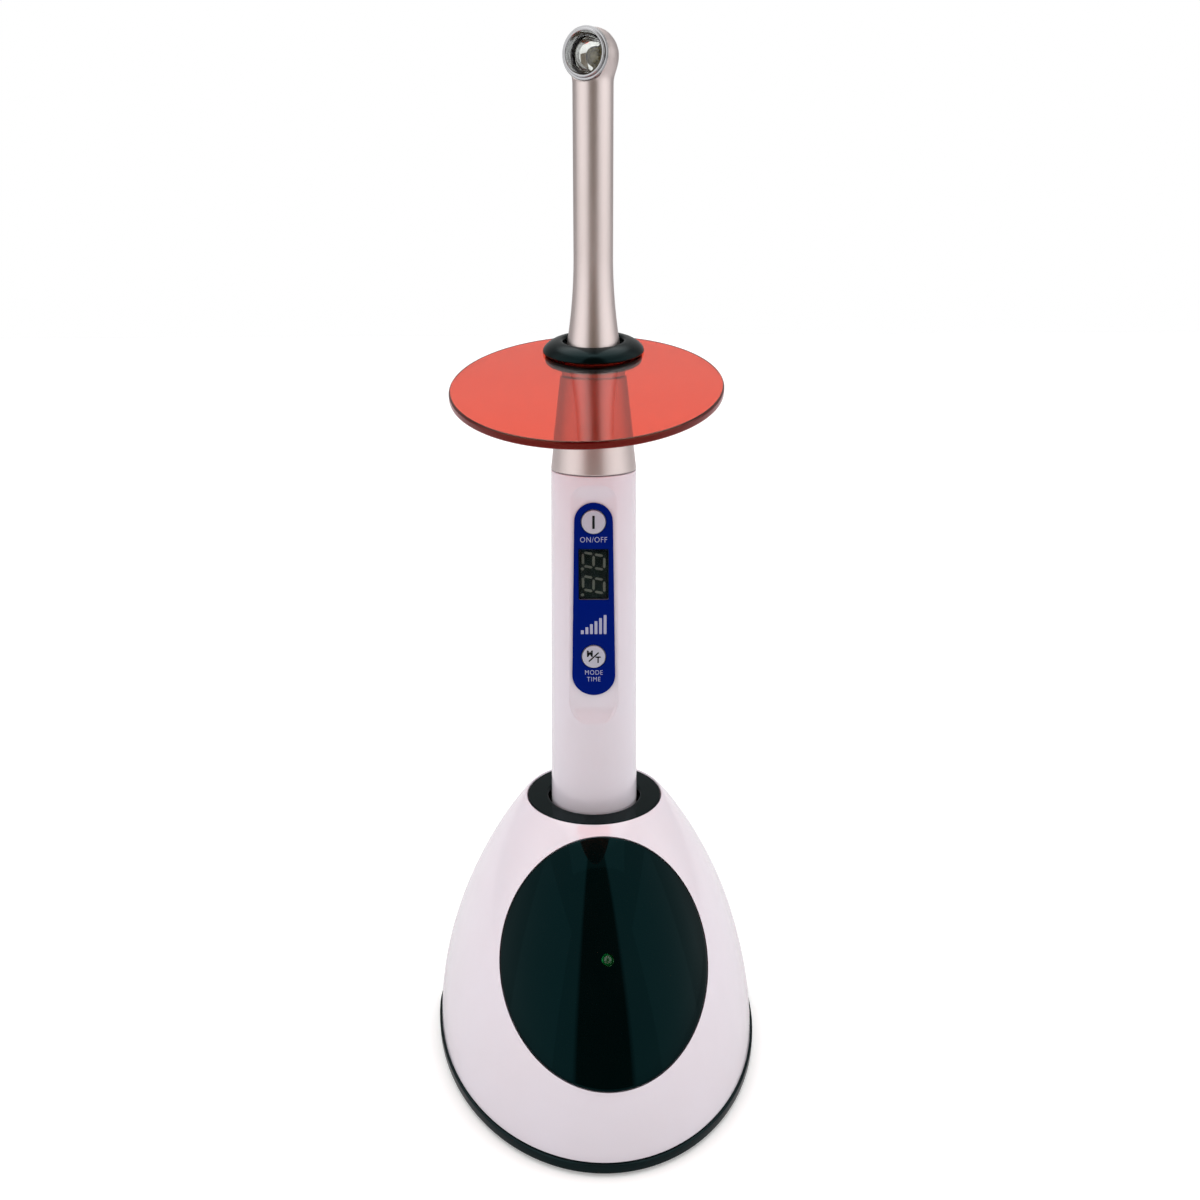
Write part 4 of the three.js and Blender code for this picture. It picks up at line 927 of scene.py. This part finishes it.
def makePin(number):
    look = pinLook
    node, springNode = f"charge_pin_{number}", f"pin_spring_{number}"
    spot, z0, z1 = middle(node), lowest(node), highest(node)
    radius, flange, step = look["radius"], look["flange"], z0 + look["flangeThick"]
    profile = softened([(0, z0), (flange, z0), (flange, step), (radius, step, 0.1), (radius, z1 - 0.4, 0.5),
        (0, z1, 0.3)], 0.2)
    pin = lathe(f"chargePin{number}", profile, Matrix.Translation((spot.x, spot.y, 0)), 40)
    wear(pin, brass, node, [node])
    spring = makeSpring(f"pinSpring{number}", springNode, spot.x, spot.y, look["springRadius"],
        look["springWire"], look["springTurns"])
    wear(spring, steel, "charger_base", [springNode])
    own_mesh(spring)


for number in (1, 2):
    makePin(number)
print("base finished")


# The grip
gripLook = {"tail": 13.6, "top": 12.5, "pocketHalf": 7.2, "pocketFloor": 10.75, "pocketDrop": 2.0,
            "pocketLong": 74.1, "pocketRamp": 5.4, "soft": 0.28, "columns": 220,
            "buttonHole": 3.75, "displayHalf": 4.5, "displayTall": 7.8, "tailBore": 11.3, "cellBore": 9.7,
            "chamber": 10.7, "chamberFront": 9.25}
controls = {"power_button": middle("power_button").z, "mode_button": middle("mode_button").z,
            "display": middle("display_window").z}


def gripRadius(z):
    t = np.clip((z - baseTop) / (gripTop - baseTop), 0, 1)
    return gripLook["tail"] + (gripLook["top"] - gripLook["tail"]) * t


def smoothLess(a, b, soft):
    h = np.clip(0.5 + 0.5 * (b - a) / soft, 0, 1)
    return b * (1 - h) + a * h - soft * h * (1 - h)


def eased(t):
    return t * t * (3 - 2 * t)


def gripRow(z, inset=0.0):
    # One ring of the grip; the columns crowd together across the front.
    look = gripLook
    u = turnsOf(look["columns"])
    turn = u - 0.55 * np.sin(u)
    radius = np.full(look["columns"], gripRadius(z) - inset)
    top = gripTop - look["pocketDrop"]
    bottom, half = top - look["pocketLong"], look["pocketHalf"]
    away = np.hypot(radius * np.sin(turn), z - np.clip(z, bottom + half, top - half)) - half
    ease = eased(np.clip(np.minimum(z - bottom, top - z) / look["pocketRamp"], 0, 1))
    mask = eased(np.clip(0.5 - away / 0.5, 0, 1))
    sunk = smoothLess(radius, look["pocketFloor"] / np.maximum(np.cos(turn), 0.2), look["soft"])
    radius = np.where(np.cos(turn) > 0.4, radius + (sunk - radius) * mask * ease, radius)
    return np.stack([radius * np.sin(turn), -radius * np.cos(turn), np.full(look["columns"], z)], 1)


def makeGrip():
    look = gripLook
    pocketTop = gripTop - look["pocketDrop"]
    pocketBottom = pocketTop - look["pocketLong"]
    heights = np.concatenate([np.linspace(gripBottom + 0.3, pocketBottom - 1, 14),
        np.linspace(pocketBottom - 0.7, pocketBottom + 9, 44),
        np.linspace(pocketBottom + 9.8, pocketTop - 9.8, 66), np.linspace(pocketTop - 9, gripTop - 0.25, 48)])
    rows = [gripRow(gripBottom, 0.3), gripRow(gripBottom + 0.1, 0.1)] + [gripRow(z) for z in heights]
    rows += [gripRow(gripTop - 0.08, 0.08), gripRow(gripTop, 0.25)]
    grip = gridPiece("gripShell", rows, handFrame, sharp=34)
    chamberLow = highest("battery_cell") + 0.5
    tailBore, cellBore = look["tailBore"], look["cellBore"]
    bore = lathe("bore", [(0, gripBottom - 5), (tailBore, gripBottom - 5), (tailBore, gripBottom + 6),
        (cellBore, gripBottom + 6), (cellBore, chamberLow), (0, chamberLow)], handFrame, 72)
    chamber = drum(look["chamber"], chamberLow - 0.5, gripTop - 6.5, handFrame, 72)
    keep = block(-20, 20, -look["chamberFront"], 20, 40, 220, handFrame)
    carve(chamber, [keep], "INTERSECT")
    mouth = drum(look["chamber"], gripTop - 7.5, gripTop + 5, handFrame, 72)
    tools = [bore, chamber, mouth]
    toFront = handFrame @ turnedBy(90, "X")
    for name in ("power_button", "mode_button"):
        tools.append(drum(look["buttonHole"], 8, 20, toFront @ Matrix.Translation((0, controls[name], 0)),
            48))
    tools.append(block(-look["displayHalf"], look["displayHalf"], -20, -8, controls["display"]
        - look["displayTall"], controls["display"] + look["displayTall"], handFrame))
    return carve(grip, tools, sharp=30)


grip = wear(makeGrip(), whiteGloss, "handpiece", ["handle_shell"])
print("grip:", len(grip.data.polygons), "faces")

labelLook = {"topHalf": 5.6, "bottomHalf": 6.45, "drop": 7.7, "long": 59.2, "front": -11.3, "back": -10.9,
             "edge": 0.1, "hole": 3.72, "slotHalf": 4.42, "slotTall": 7.72}


def roundedBox(x0, x1, z0, z1, radius=0.5):
    corners = [(x0, z0), (x1, z0), (x1, z1), (x0, z1)]
    return softened(corners, radius, 4, True)


def makeLabel():
    look = labelLook
    top = gripTop - look["drop"]
    loops = [stadium(look["topHalf"], look["bottomHalf"], top - look["long"], top),
             circleAt(0, controls["power_button"], look["hole"]),
             circleAt(0, controls["mode_button"], look["hole"]),
             roundedBox(-look["slotHalf"], look["slotHalf"], controls["display"] - look["slotTall"],
        controls["display"] + look["slotTall"])]
    return sheetPiece("labelPanel", loops, look["front"], look["back"], handFrame, look["edge"])


wear(makeLabel(), labelBlue, "handpiece", ["label_panel"])

printLook = {"onOff": 2.35, "mode": 2.1, "narrow": 0.86, "heavy": -0.01, "spread": 1.12}
printFront = labelLook["front"]
powerLevel, modeLevel = controls["power_button"], controls["mode_button"]
legends = [("onOffWord", "ON/OFF", "onOff", powerLevel - 5.35),
           ("modeWord", "MODE", "mode", modeLevel - 5.15), ("timeWord", "TIME", "mode", modeLevel - 7.3)]
words = [lettering(name, text, printLook[size], 0, level, printFront, handFrame, printLook["narrow"],
    printLook["heavy"], printLook["spread"]) for name, text, size, level in legends]
wear(joined("labelWords", words), printWhite, "handpiece")

# Rising bars, as a plain sign for the power steps.
barLook = {"bars": 6, "wide": 0.85, "apart": 1.35, "first": 1.2, "step": 0.95, "drop": 44.6}
barShape = sheetPiece("barShape", [roundedBox(-0.5, 0.5, 0, 1, 0.12)], -0.5, 0.5, noTurn, 0.0)
barSpots = [((i - (barLook["bars"] - 1) / 2) * barLook["apart"], printFront - 0.01, gripTop - barLook["drop"]
             - 2.8) for i in range(barLook["bars"])]
barSizes = [(barLook["wide"], 0.02, barLook["first"] + barLook["step"] * i) for i in range(barLook["bars"])]
wear(setOnPoints("powerBars", barShape, printWhite, barSpots, handFrame, None, barSizes), printWhite,
     "handpiece")

displayLook = {"half": 4.2, "tall": 7.5, "paneBack": -10.75, "front": -10.45, "back": -4.3}
displayHalf, displayFront = displayLook["half"], displayLook["front"]
displayLow, displayHigh = controls["display"] - displayLook["tall"], controls["display"] + displayLook["tall"]
windowPane = roundedBox(-displayHalf, displayHalf, displayLow, displayHigh, 0.4)
pane = sheetPiece("displayWindow", [windowPane], printFront, displayLook["paneBack"], handFrame, 0.08)
wear(pane, smokedGlass, "handpiece", ["display_window"])
displayBody = block(-displayHalf, displayHalf, displayFront, displayLook["back"], displayLow, displayHigh,
    handFrame)
wear(joined("displayModule", [bevelled(displayBody, 0.2)]), moduleBlack, "handpiece",
     ["display_module"])

# Two figures of seven segments lying along the grip, each with its point.
segmentLook = {"wide": 4.1, "half": 3.1, "thick": 0.74, "apart": 7.2, "lean": 11.0, "dot": 0.48, "share": 0.8}


def figurePoints():
    # Each figure's height runs across the grip; its right side is set a little lower.
    look = segmentLook
    lean = math.tan(math.radians(look["lean"]))
    w, h = look["wide"] / 2, look["half"]
    layout = [(x, 0, True) for x in (-h, 0, h)] + [(x, z, False) for x in (-h / 2, h / 2) for z in (-w, w)]
    spots, turns, sizes = [], [], []
    for middleZ in (look["apart"] / 2, -look["apart"] / 2):
        for x, z, alongGrip in layout:
            spots.append((x, displayFront - 0.03, controls["display"] + middleZ + 0.35 + z - lean * x))
            turns.append(Matrix.Rotation(math.radians(90 if alongGrip else look["lean"]), 3, "Y"))
            long = look["wide"] if alongGrip else h
            sizes.append((long * look["share"], 0.06, look["thick"]))
    return spots, turns, sizes


segmentShape = sheetPiece("segmentShape", [[(-0.5, 0), (-0.38, 0.5), (0.38, 0.5), (0.5, 0), (0.38, -0.5),
    (-0.38, -0.5)]], -0.5, 0.5, noTurn, 0.0)
spots, turns, sizes = figurePoints()
segments = setOnPoints("figureSegments", segmentShape, digitGrey, spots, handFrame, turns, sizes)
dots = [lathe("dot", [(0, 0), (segmentLook["dot"], 0), (segmentLook["dot"], 0.06), (0, 0.06)], handFrame
              @ Matrix.Translation((-3.25, displayFront, controls["display"] + lift)) @ turnedBy(90, "X"), 24)
        for lift in (1.55, -6.35)]
wear(joined("displayFigures", [segments, *dots]), digitGrey, "handpiece")

# Button caps, each with its printed sign.
buttonLook = {"radius": 3.45, "face": -11.75, "flange": 4.2, "back": -8.5, "flangeThick": 0.45}


def makeButton(name, marks, body):
    look = buttonLook
    toFront = handFrame @ Matrix.Translation((0, 0, controls[body])) @ turnedBy(90, "X")
    front, back, radius, flange = -look["face"], -look["back"], look["radius"], look["flange"]
    step = back + look["flangeThick"]
    profile = softened([(0, back), (flange, back), (flange, step), (radius, step, 0.1),
        (radius, front - 0.05, 0.3), (radius - 0.5, front, 0.2), (0, front)], 0.1)
    wear(lathe(name, profile, toFront, 72), buttonGrey, body, [body])
    wear(joined(name + "Sign", marks), printBlack, body)


signFront = buttonLook["face"]
signLook = {"half": 0.36, "tall": 1.95, "thick": 0.02, "letter": 2.75, "narrow": 0.9, "heavy": 0.09}


def makeSign(name, outline):
    return sheetPiece(name, [outline], signFront - signLook["thick"], signFront, handFrame, 0.0)


def makeMark(name, letter, x, z):
    return lettering(name, letter, signLook["letter"], x, z, signFront, handFrame, signLook["narrow"],
        signLook["heavy"])


barOutline = roundedBox(-signLook["half"], signLook["half"], powerLevel - signLook["tall"], powerLevel
    + signLook["tall"], 0.2)
makeButton("powerButton", [makeSign("barSign", barOutline)], "power_button")
strokeOutline = [(x, modeLevel + y) for x, y in [(-1.6, -1.25), (-1.35, -1.6), (1.6, 1.25), (1.35, 1.6)]]
modeMarks = [makeMark("markM", "M", -1.15, modeLevel + 0.95), makeMark("markT", "T", 1.3, modeLevel - 0.95),
             makeSign("stroke", strokeOutline)]
makeButton("modeButton", modeMarks, "mode_button")

tailLook = {"radius": 13.3, "chamfer": 1.0, "thick": 4.0, "spigot": 11.0, "recess": 9.6,
            "ringOuter": 7.9, "ringInner": 5.1, "ringThick": 1.2, "rivet": 2.6, "rivetFlange": 3.6}


def makeTail():
    look = tailLook
    z0, z2, radius, chamfer = lowest("tail_cap"), highest("tail_cap"), look["radius"], look["chamfer"]
    z1, spigot, recess = z0 + look["thick"], look["spigot"], look["recess"]
    cap = lathe("tailCap", softened([(0, z0), (radius - chamfer, z0, 0.4), (radius, z0 + chamfer, 0.4),
        (radius, z1), (spigot, z1), (spigot, z2), (recess, z2), (recess, z1), (0, z1)], 0.2), handFrame, 120)
    face = lowest("tail_contact_ring")
    inner, outer, back, room = look["ringInner"], look["ringOuter"], face + look["ringThick"], 0.3
    groove = lathe("groove", [(inner - room, z0 - 5), (outer + room, z0 - 5), (outer + room, back + room),
                              (inner - room, back + room)], handFrame, 96)
    carve(cap, [groove, drum(look["rivet"] + room, z0 - 5, z1 + 5, handFrame, 64)])
    wear(cap, blackMatt, "handpiece", ["tail_cap"])
    ringProfile = softened([(inner, face), (outer, face), (outer, back), (inner, back)], 0.2, 3, True)
    wear(lathe("contactRing", ringProfile, handFrame, 96), brass, "handpiece", ["tail_contact_ring"])
    top, stem, flange = highest("tail_contact_centre"), look["rivet"], look["rivetFlange"]
    rivetProfile = [(0, face), (stem, face, 0.4), (stem, top - 0.9), (flange, top - 0.9), (flange, top),
                    (0, top)]
    rivet = lathe("contactRivet", softened(rivetProfile, 0.15), handFrame, 64)
    wear(rivet, brass, "handpiece", ["tail_contact_centre"])


makeTail()
cellSpring = makeSpring("cellSpring", "battery_spring", pinSpot.x, pinSpot.y, 4.5, 0.4, 3.0)
wear(cellSpring, steel, "handpiece", ["battery_spring"])

collarLook = {"low": 12.5, "top": 9.5, "bore": 7.4, "shelf": 12.2, "wideBore": 9.0, "spigot": 10.4,
              "spigotLong": 5.8, "sealRise": 2.6}


def makeCollar():
    look = collarLook
    z0 = lowest("front_collar")
    z1, seal, half = z0 + look["spigotLong"] + 0.3, z0 + look["sealRise"], 0.85
    spigot, bore, wideBore, shelf = look["spigot"], look["bore"], look["wideBore"], collarTop - look["shelf"]
    profile = softened([(wideBore, z0), (spigot, z0), (spigot, seal - half, 0.1),
        (spigot - 0.9, seal - half, 0.1), (spigot - 0.9, seal + half, 0.1), (spigot, seal + half, 0.1),
        (spigot, z1, 0.1), (look["low"], z1, 0.25), (look["top"], collarTop, 0.25), (bore, collarTop, 0.15),
        (bore, shelf), (wideBore, shelf)], 0.15, 4, True)
    return lathe("frontCollar", profile, handFrame, 128, sharp=30)


wear(makeCollar(), roseMetal, "handpiece", ["front_collar"])
print("grip finished")


# Neck and head
neckLook = {"radius": 5.5, "waist": 9.06, "spigot": 7.0, "flareStart": 2.2, "flareLong": 31.8,
            "flareCurve": 1.95, "ball": 6.86, "barrel": 6.4, "barrelFront": 4.2, "blend": 1.8, "bore": 5.5,
            "boreBack": 3.0, "seat": 6.9, "columns": 128}


def neckRadiusAt(z):
    look = neckLook
    u = np.clip((z - neckBottom - look["flareStart"]) / look["flareLong"], 0, 1)
    return look["radius"] + (look["waist"] - look["radius"]) * (1 - u) ** look["flareCurve"]


def headDistance(spots):
    # Signed distance to the neck, the ball and the barrel, blended together.
    look = neckLook
    x, y, z = spots[..., 0], spots[..., 1], spots[..., 2]
    tube = np.maximum(np.hypot(x, y) - neckRadiusAt(z), z - headCentre)
    ball = np.sqrt(x * x + y * y + (z - headCentre) ** 2) - look["ball"]
    barrel = np.maximum(np.hypot(x, z - headCentre) - look["barrel"], np.maximum(-look["barrelFront"] - y, y))
    return smoothLess(smoothLess(tube, ball, look["blend"]), barrel, look["blend"] * 0.5)


def makeNeck():
    look = neckLook
    turn = turnsOf(look["columns"])
    flat = np.stack([np.sin(turn), -np.cos(turn), np.zeros_like(turn)], 1)
    rows = []
    spigot, waist, flareStart = look["spigot"], look["waist"], neckBottom + look["flareStart"]
    shoulder = [(spigot, lowest("neck_tube"), 0.3), (spigot, neckBottom, 0.05), (waist, neckBottom, 0.25),
                (waist, flareStart, 0)]
    for radius, z in softened(shoulder, 0.2, 3)[:-1]:
        rows.append(flat * radius + [0, 0, z])
    starts = [(z, 0.0) for z in np.linspace(flareStart - 1.6, headCentre - 12, 84)]
    starts += [(headCentre - 12 + 12 * t, math.radians(-20) * math.sin(math.pi * t))
               for t in np.linspace(0.04, 0.97, 26)]
    starts += [(headCentre, a) for a in np.radians(np.linspace(2, 87, 40))]
    for z, lift in starts:
        way = flat * math.cos(lift) + [0, 0, math.sin(lift)]
        foot = np.array([0, 0, z])

        def isInside(t):
            return headDistance(way * t[:, None] + foot) < 0

        rows.append(way * reachOut(isInside, len(turn), 16.0, 34)[:, None] + foot)
    neck = gridPiece("neckTube", rows, headFrame, sharp=40)
    radius, back, front, seat = look["bore"], -look["boreBack"], look["barrelFront"], look["seat"]
    bore = lathe("bore", [(0, back), (radius, back), (radius, front + 0.01), (seat, front), (seat + 0.4, 12),
        (0, 12)], lightFrame, 96)
    return carve(neck, [bore], sharp=36)


wear(makeNeck(), roseMetal, "head", ["neck_tube"])

lensLook = {"radius": 5.2, "back": 1.2, "flange": 1.0, "dome": 4.2, "apex": 3.1}
lensFront = lensLook["back"] + lensLook["flange"]
bezelLook = {"base": 6.6, "baseBack": 4.5, "baseThick": 0.6, "ring": 5.9, "front": 5.9, "lip": 5.3,
             "skirt": 5.2, "skirtInner": 4.35, "gap": 0.3}


def makeBezel():
    look = bezelLook
    step, skirtBack = look["baseBack"] + look["baseThick"], lensFront + look["gap"]
    base, back, front, ring = look["base"], look["baseBack"], look["front"], look["ring"]
    skirt, inner, lip = look["skirt"], look["skirtInner"], look["lip"]
    profile = softened([(inner, skirtBack, 0.1), (skirt, skirtBack), (skirt, back, 0.05), (base, back, 0.15),
        (base, step, 0.28), (ring + 0.05, step, 0.06), (ring, front, 0.35), (lip, front, 0.2),
        (lip - 0.25, front - 0.8, 0.3), (inner + 0.1, skirtBack + 0.7, 0.3)], 0.1, 5, True)
    return lathe("headBezel", profile, lightFrame, 128, sharp=44)


wear(makeBezel(), chrome, "head", ["head_bezel"])


def makeLens():
    radius, back, dome, apex = (lensLook[key] for key in ("radius", "back", "dome", "apex"))
    profile = [(0, back), (radius - 0.1, back), (radius, back + 0.1), (radius, lensFront - 0.1),
               (radius - 0.1, lensFront)]
    profile += [(dome * math.cos(a), lensFront + (apex - lensFront) * math.sin(a)) for a in quarter(20)[:-1]]
    return lathe("lens", profile + [(0, apex)], lightFrame, 96, sharp=50)


wear(makeLens(), lensGlass, "head", ["lens"])

reflectorLook = {"back": -0.7, "front": 0.9, "mouth": 4.6, "throat": 1.9, "wall": 0.35}


def makeReflector():
    look = reflectorLook
    inner, outer = [], []
    back, throat = look["back"], look["throat"]
    for t in np.linspace(0, 1, 24):
        z = back + (look["front"] - back) * t
        r = throat + (look["mouth"] - throat) * t ** 0.6
        inner.append((r, z))
        outer.append((r + look["wall"], z))
    return lathe("reflector", inner + outer[::-1], lightFrame, 96, sharp=40)


wear(makeReflector(), mirrorCoat, "head", ["reflector"])

emitterLook = {"half": 1.7, "back": -1.7, "front": -1.0, "dome": 1.3, "flat": 0.6}


def makeEmitter():
    look = emitterLook
    half, front, dome = look["half"], look["front"], look["dome"]
    body = bevelled(block(-half, half, -half, half, look["back"], front, lightFrame), 0.12)
    foot, rise = front - 0.1, dome * look["flat"]
    arc = [(dome * math.cos(a), foot + rise * math.sin(a)) for a in quarter(12)[:-1]]
    cap = lathe("cap", [(0, front - 0.3), (dome, front - 0.3)] + arc + [(0, foot + rise)], lightFrame, 48)
    return carve(body, [cap], "UNION")


wear(makeEmitter(), dieYellow, "head", ["led_emitter"])
boardLook = {"radius": 5.2, "back": -2.7, "front": -2.0}
boardRadius, boardBack, boardFront = boardLook.values()
boardProfile = [(0, boardBack), (boardRadius, boardBack), (boardRadius, boardFront), (0, boardFront)]
ledBoard = lathe("ledBoard", softened(boardProfile, 0.1), lightFrame, 64)
wear(ledBoard, steel, "head", ["led_board"])
print("head finished")


# The shield
shieldLook = {"halfWide": 35.8, "halfLong": 46.8, "offset": 29.0, "thick": 2.0, "hole": 11.6, "edge": 0.55,
              "around": 256}


def shieldRow(inset, z):
    # The oval's edge, seen from the hole's centre so that the columns line up.
    look = shieldLook
    turn = turnsOf(look["around"])
    a, b = look["halfWide"] - inset, look["halfLong"] - inset
    c, s = np.cos(turn), np.sin(turn)
    o = look["offset"]
    qa, qb, qc = (c / a) ** 2 + (s / b) ** 2, 2 * s * o / b ** 2, (o / b) ** 2 - 1
    t = (-qb + np.sqrt(qb * qb - 4 * qa * qc)) / (2 * qa)
    return np.stack([t * c, t * s, np.full_like(t, z)], 1)


def holeRow(radius, z):
    turn = turnsOf(shieldLook["around"])
    return np.stack([radius * np.cos(turn), radius * np.sin(turn), np.full_like(turn, z)], 1)


def faceRow(share, z):
    # A ring across the flat face, from the hole (0) to the rim (1).
    return holeRow(shieldLook["hole"] + 0.15, z) * (1 - share) + shieldRow(shieldLook["edge"] + 0.1,
        z) * share


def makeShield():
    edge, low, hole = shieldLook["edge"], -shieldLook["thick"], shieldLook["hole"]
    shares = (0.0, 0.01, 0.5, 0.99, 1.0)
    rows = [faceRow(share, 0) for share in shares]
    rows += [shieldRow(edge * (1 - math.sin(a)), -edge * (1 - math.cos(a))) for a in quarter(7)]
    rows += [shieldRow(edge * (1 - math.cos(a)), low + edge * (1 - math.sin(a))) for a in quarter(7)]
    rows += [faceRow(share, low) for share in shares[::-1]]
    rows += [holeRow(hole, low + 0.15), holeRow(hole, -0.15)]
    return gridPiece("shieldDisc", rows, shieldFrame, loop=True, sharp=40)


wear(makeShield(), shieldOrange, "shield_disc", ["shield_disc"])

grommetLook = {"radius": 14.4, "dome": 3.4, "lift": 0.15, "groove": 11.3, "skirt": 13.8, "skirtThick": 2.3,
               "mouth": 8.5, "bottomMouth": 10.3, "lip": 0.9, "brim": 0.35}


def makeGrommet():
    look = grommetLook
    radius, dome, lift, brim, lip, skirt = (look[key]
        for key in ("radius", "dome", "lift", "brim", "lip", "skirt"))
    groove, under, inner = look["groove"], -shieldLook["thick"] - lift, look["mouth"] + lip
    crown = [(radius - 0.12, lift + 0.1), (radius, lift + brim * 0.6)]
    crown += [(inner + (radius - inner) * math.cos(a) ** 1.25, lift + brim
               + (dome - brim) * math.sin(a) ** 1.2) for a in np.linspace(0.04, math.pi / 2, 24)]
    crown += [(inner - lip * math.sin(a), lift + dome - lip * (1 - math.cos(a)))
              for a in np.linspace(0.2, math.pi / 2, 7)]
    foot = under - look["skirtThick"]
    profile = [(groove, lift), (radius - 0.3, lift)] + crown
    profile += [(look["bottomMouth"], foot), (skirt - 0.8, foot), (skirt - 0.35, foot + 0.15),
                (skirt - 0.06, foot + 0.45), (skirt, foot + 0.8), (skirt, under), (groove, under)]
    return lathe("shieldGrommet", profile, shieldFrame, 112, sharp=50)


wear(makeGrommet(), rubberBlack, "shield_ring", ["shield_grommet"])
print("shield finished")

# Inner parts keep their own meshes and get their finishes.
inside = {"charger_board": circuitGreen, "indicator_board": circuitGreen, "main_board": circuitGreen,
          "contact_block": blackMatt, "ballast_weight": steel, "power_switch": blackMatt,
          "mode_switch": blackMatt, "control_chip": blackMatt, "driver_inductor": blackMatt,
          "buzzer": blackMatt, "battery_cell": sleeveBlue, "battery_tab": steel, "handle_seal": rubberBlack,
          "swivel_jack": blackMatt, "neck_seal": rubberBlack, "neck_clip": steel, "swivel_plug": brass,
          "wire_positive": wireRed, "wire_negative": wireBlack, }
for name, material in inside.items():
    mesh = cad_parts[name].data
    mesh.materials.clear()
    mesh.materials.append(material)
print("inner parts painted:", len(inside))


# Floor, light and camera
floorMesh = bpy.data.meshes.new("floor")
floorMesh.from_pydata([(-3, -3, 0), (3, -3, 0), (3, 3, 0), (-3, 3, 0)], [], [(0, 1, 2, 3)])
floor = addObject("floor", floorMesh)
floorPaint = finishOf("pale floor", colour=(0.9, 0.9, 0.9), shade=(0.89, 0.89, 0.89), rough=0.7, bump=0.02,
    marks=0.0, dust=0.0)
floorMesh.materials.append(floorPaint)
floorTree = floorPaint.node_tree
floorView = addNode(floorTree, "ShaderNodeLightPath")
straight = sums(floorTree, "MAXIMUM", floorView.outputs["Is Camera Ray"],
                floorView.outputs["Is Transmission Ray"])
floorShader = floorTree.nodes["Principled BSDF"]
floorColour = floorShader.inputs["Base Color"].links[0].from_socket
link(floorTree, mixed(floorTree, straight, (0.68, 0.67, 0.68), floorColour), floorShader.inputs["Base Color"])
setPlain(floorShader, {"Emission Color": (1.0, 1.0, 1.0, 1.0)})
link(floorTree, product(floorTree, straight, 0.22), floorShader.inputs["Emission Strength"])

world = bpy.data.worlds.new("studio")
bpy.context.scene.world = world
world.use_nodes = True
sky = world.node_tree
background = sky.nodes["Background"]
studioLook = {"sides": 1.25, "gap": 0.13, "back": 0.42, "over": 2.3, "low": 0.55, "gapHalf": 0.5, "gapLean":
              -0.07, "gapColour": (1.0, 0.72, 0.42)}
direction = addNode(sky, "ShaderNodeSeparateXYZ",
    {"Vector": addNode(sky, "ShaderNodeTexCoord").outputs["Generated"]})
x, y, z = (direction.outputs[axis] for axis in "XYZ")


def between(share, low, high):
    return addNode(sky, "ShaderNodeMix", {0: share, 2: low, 3: high}).outputs[0]


# Two soft boxes stand beside the front with a dark gap between them. One hangs overhead at the back.
gapHalf = studioLook["gapHalf"]
forward = sums(sky, "MAXIMUM", product(sky, y, -1.0), 0.001)
across = sums(sky, "ABSOLUTE", sums(sky, "SUBTRACT", sums(sky, "DIVIDE", x, forward), studioLook["gapLean"]))
sides = between(ramp(sky, z, -0.25, 0.1), studioLook["low"], studioLook["sides"])
beside = between(ramp(sky, across, gapHalf * 0.9, gapHalf * 1.1), studioLook["gap"], sides)
level = between(ramp(sky, y, 0.15, 0.45), beside, studioLook["back"])
overhead = sums(sky, "ADD", product(sky, z, 0.95), product(sky, y, 0.31))
level = between(ramp(sky, overhead, 0.84, 0.93), level, studioLook["over"])
cameraRay = addNode(sky, "ShaderNodeLightPath").outputs["Is Camera Ray"]
link(sky, between(cameraRay, level, 1.0), background.inputs["Strength"])
dim = product(sky, ramp(sky, level, studioLook["gap"], 0.4, 1.0, 0.0), sums(sky, "SUBTRACT", 1.0, cameraRay))
link(sky, mixed(sky, dim, (1.0, 1.0, 1.0), studioLook["gapColour"]), background.inputs["Color"])


def softBox(name, place, target, wide, high, power):
    lamp = bpy.data.lights.new(name, "AREA")
    lamp.shape, lamp.size, lamp.size_y, lamp.energy = "RECTANGLE", wide, high, power
    thing = addObject(name, lamp)
    thing.location = place
    thing.rotation_euler = (Vector(target) - Vector(place)).to_track_quat("-Z", "Y").to_euler()


softBox("leftBox", (-0.75, -0.35, 0.35), (0, 0, 0.12), 0.6, 1.0, 0.5)
softBox("rightBox", (0.75, -0.35, 0.35), (0, 0, 0.12), 0.6, 1.0, 0.5)
softBox("overBox", (0.0, 0.1, 1.0), (0, 0, 0), 0.9, 0.9, 0.8)

cameraLook = {"back": 329.17, "side": 1.87, "height": 247.5, "pitch": 17.35, "lens": 34.005}
lookTurn = math.radians(pose["handpieceTurn"])
camera = addObject("camera", bpy.data.cameras.new("camera"))
sideways = Vector((math.cos(lookTurn), math.sin(lookTurn), 0))
backward = Vector((math.sin(lookTurn), -math.cos(lookTurn), 0))
camera.location = (Vector((pinSpot.x, pinSpot.y, cameraLook["height"])) + backward * cameraLook["back"]
    + sideways * cameraLook["side"]) * mm
camera.rotation_euler = (math.radians(90 - cameraLook["pitch"]), 0, lookTurn)
camera.data.lens, camera.data.sensor_width = cameraLook["lens"], 36
camera.data.clip_start = 0.01
bpy.context.scene.camera = camera
bpy.context.scene.view_settings.view_transform = "Standard"
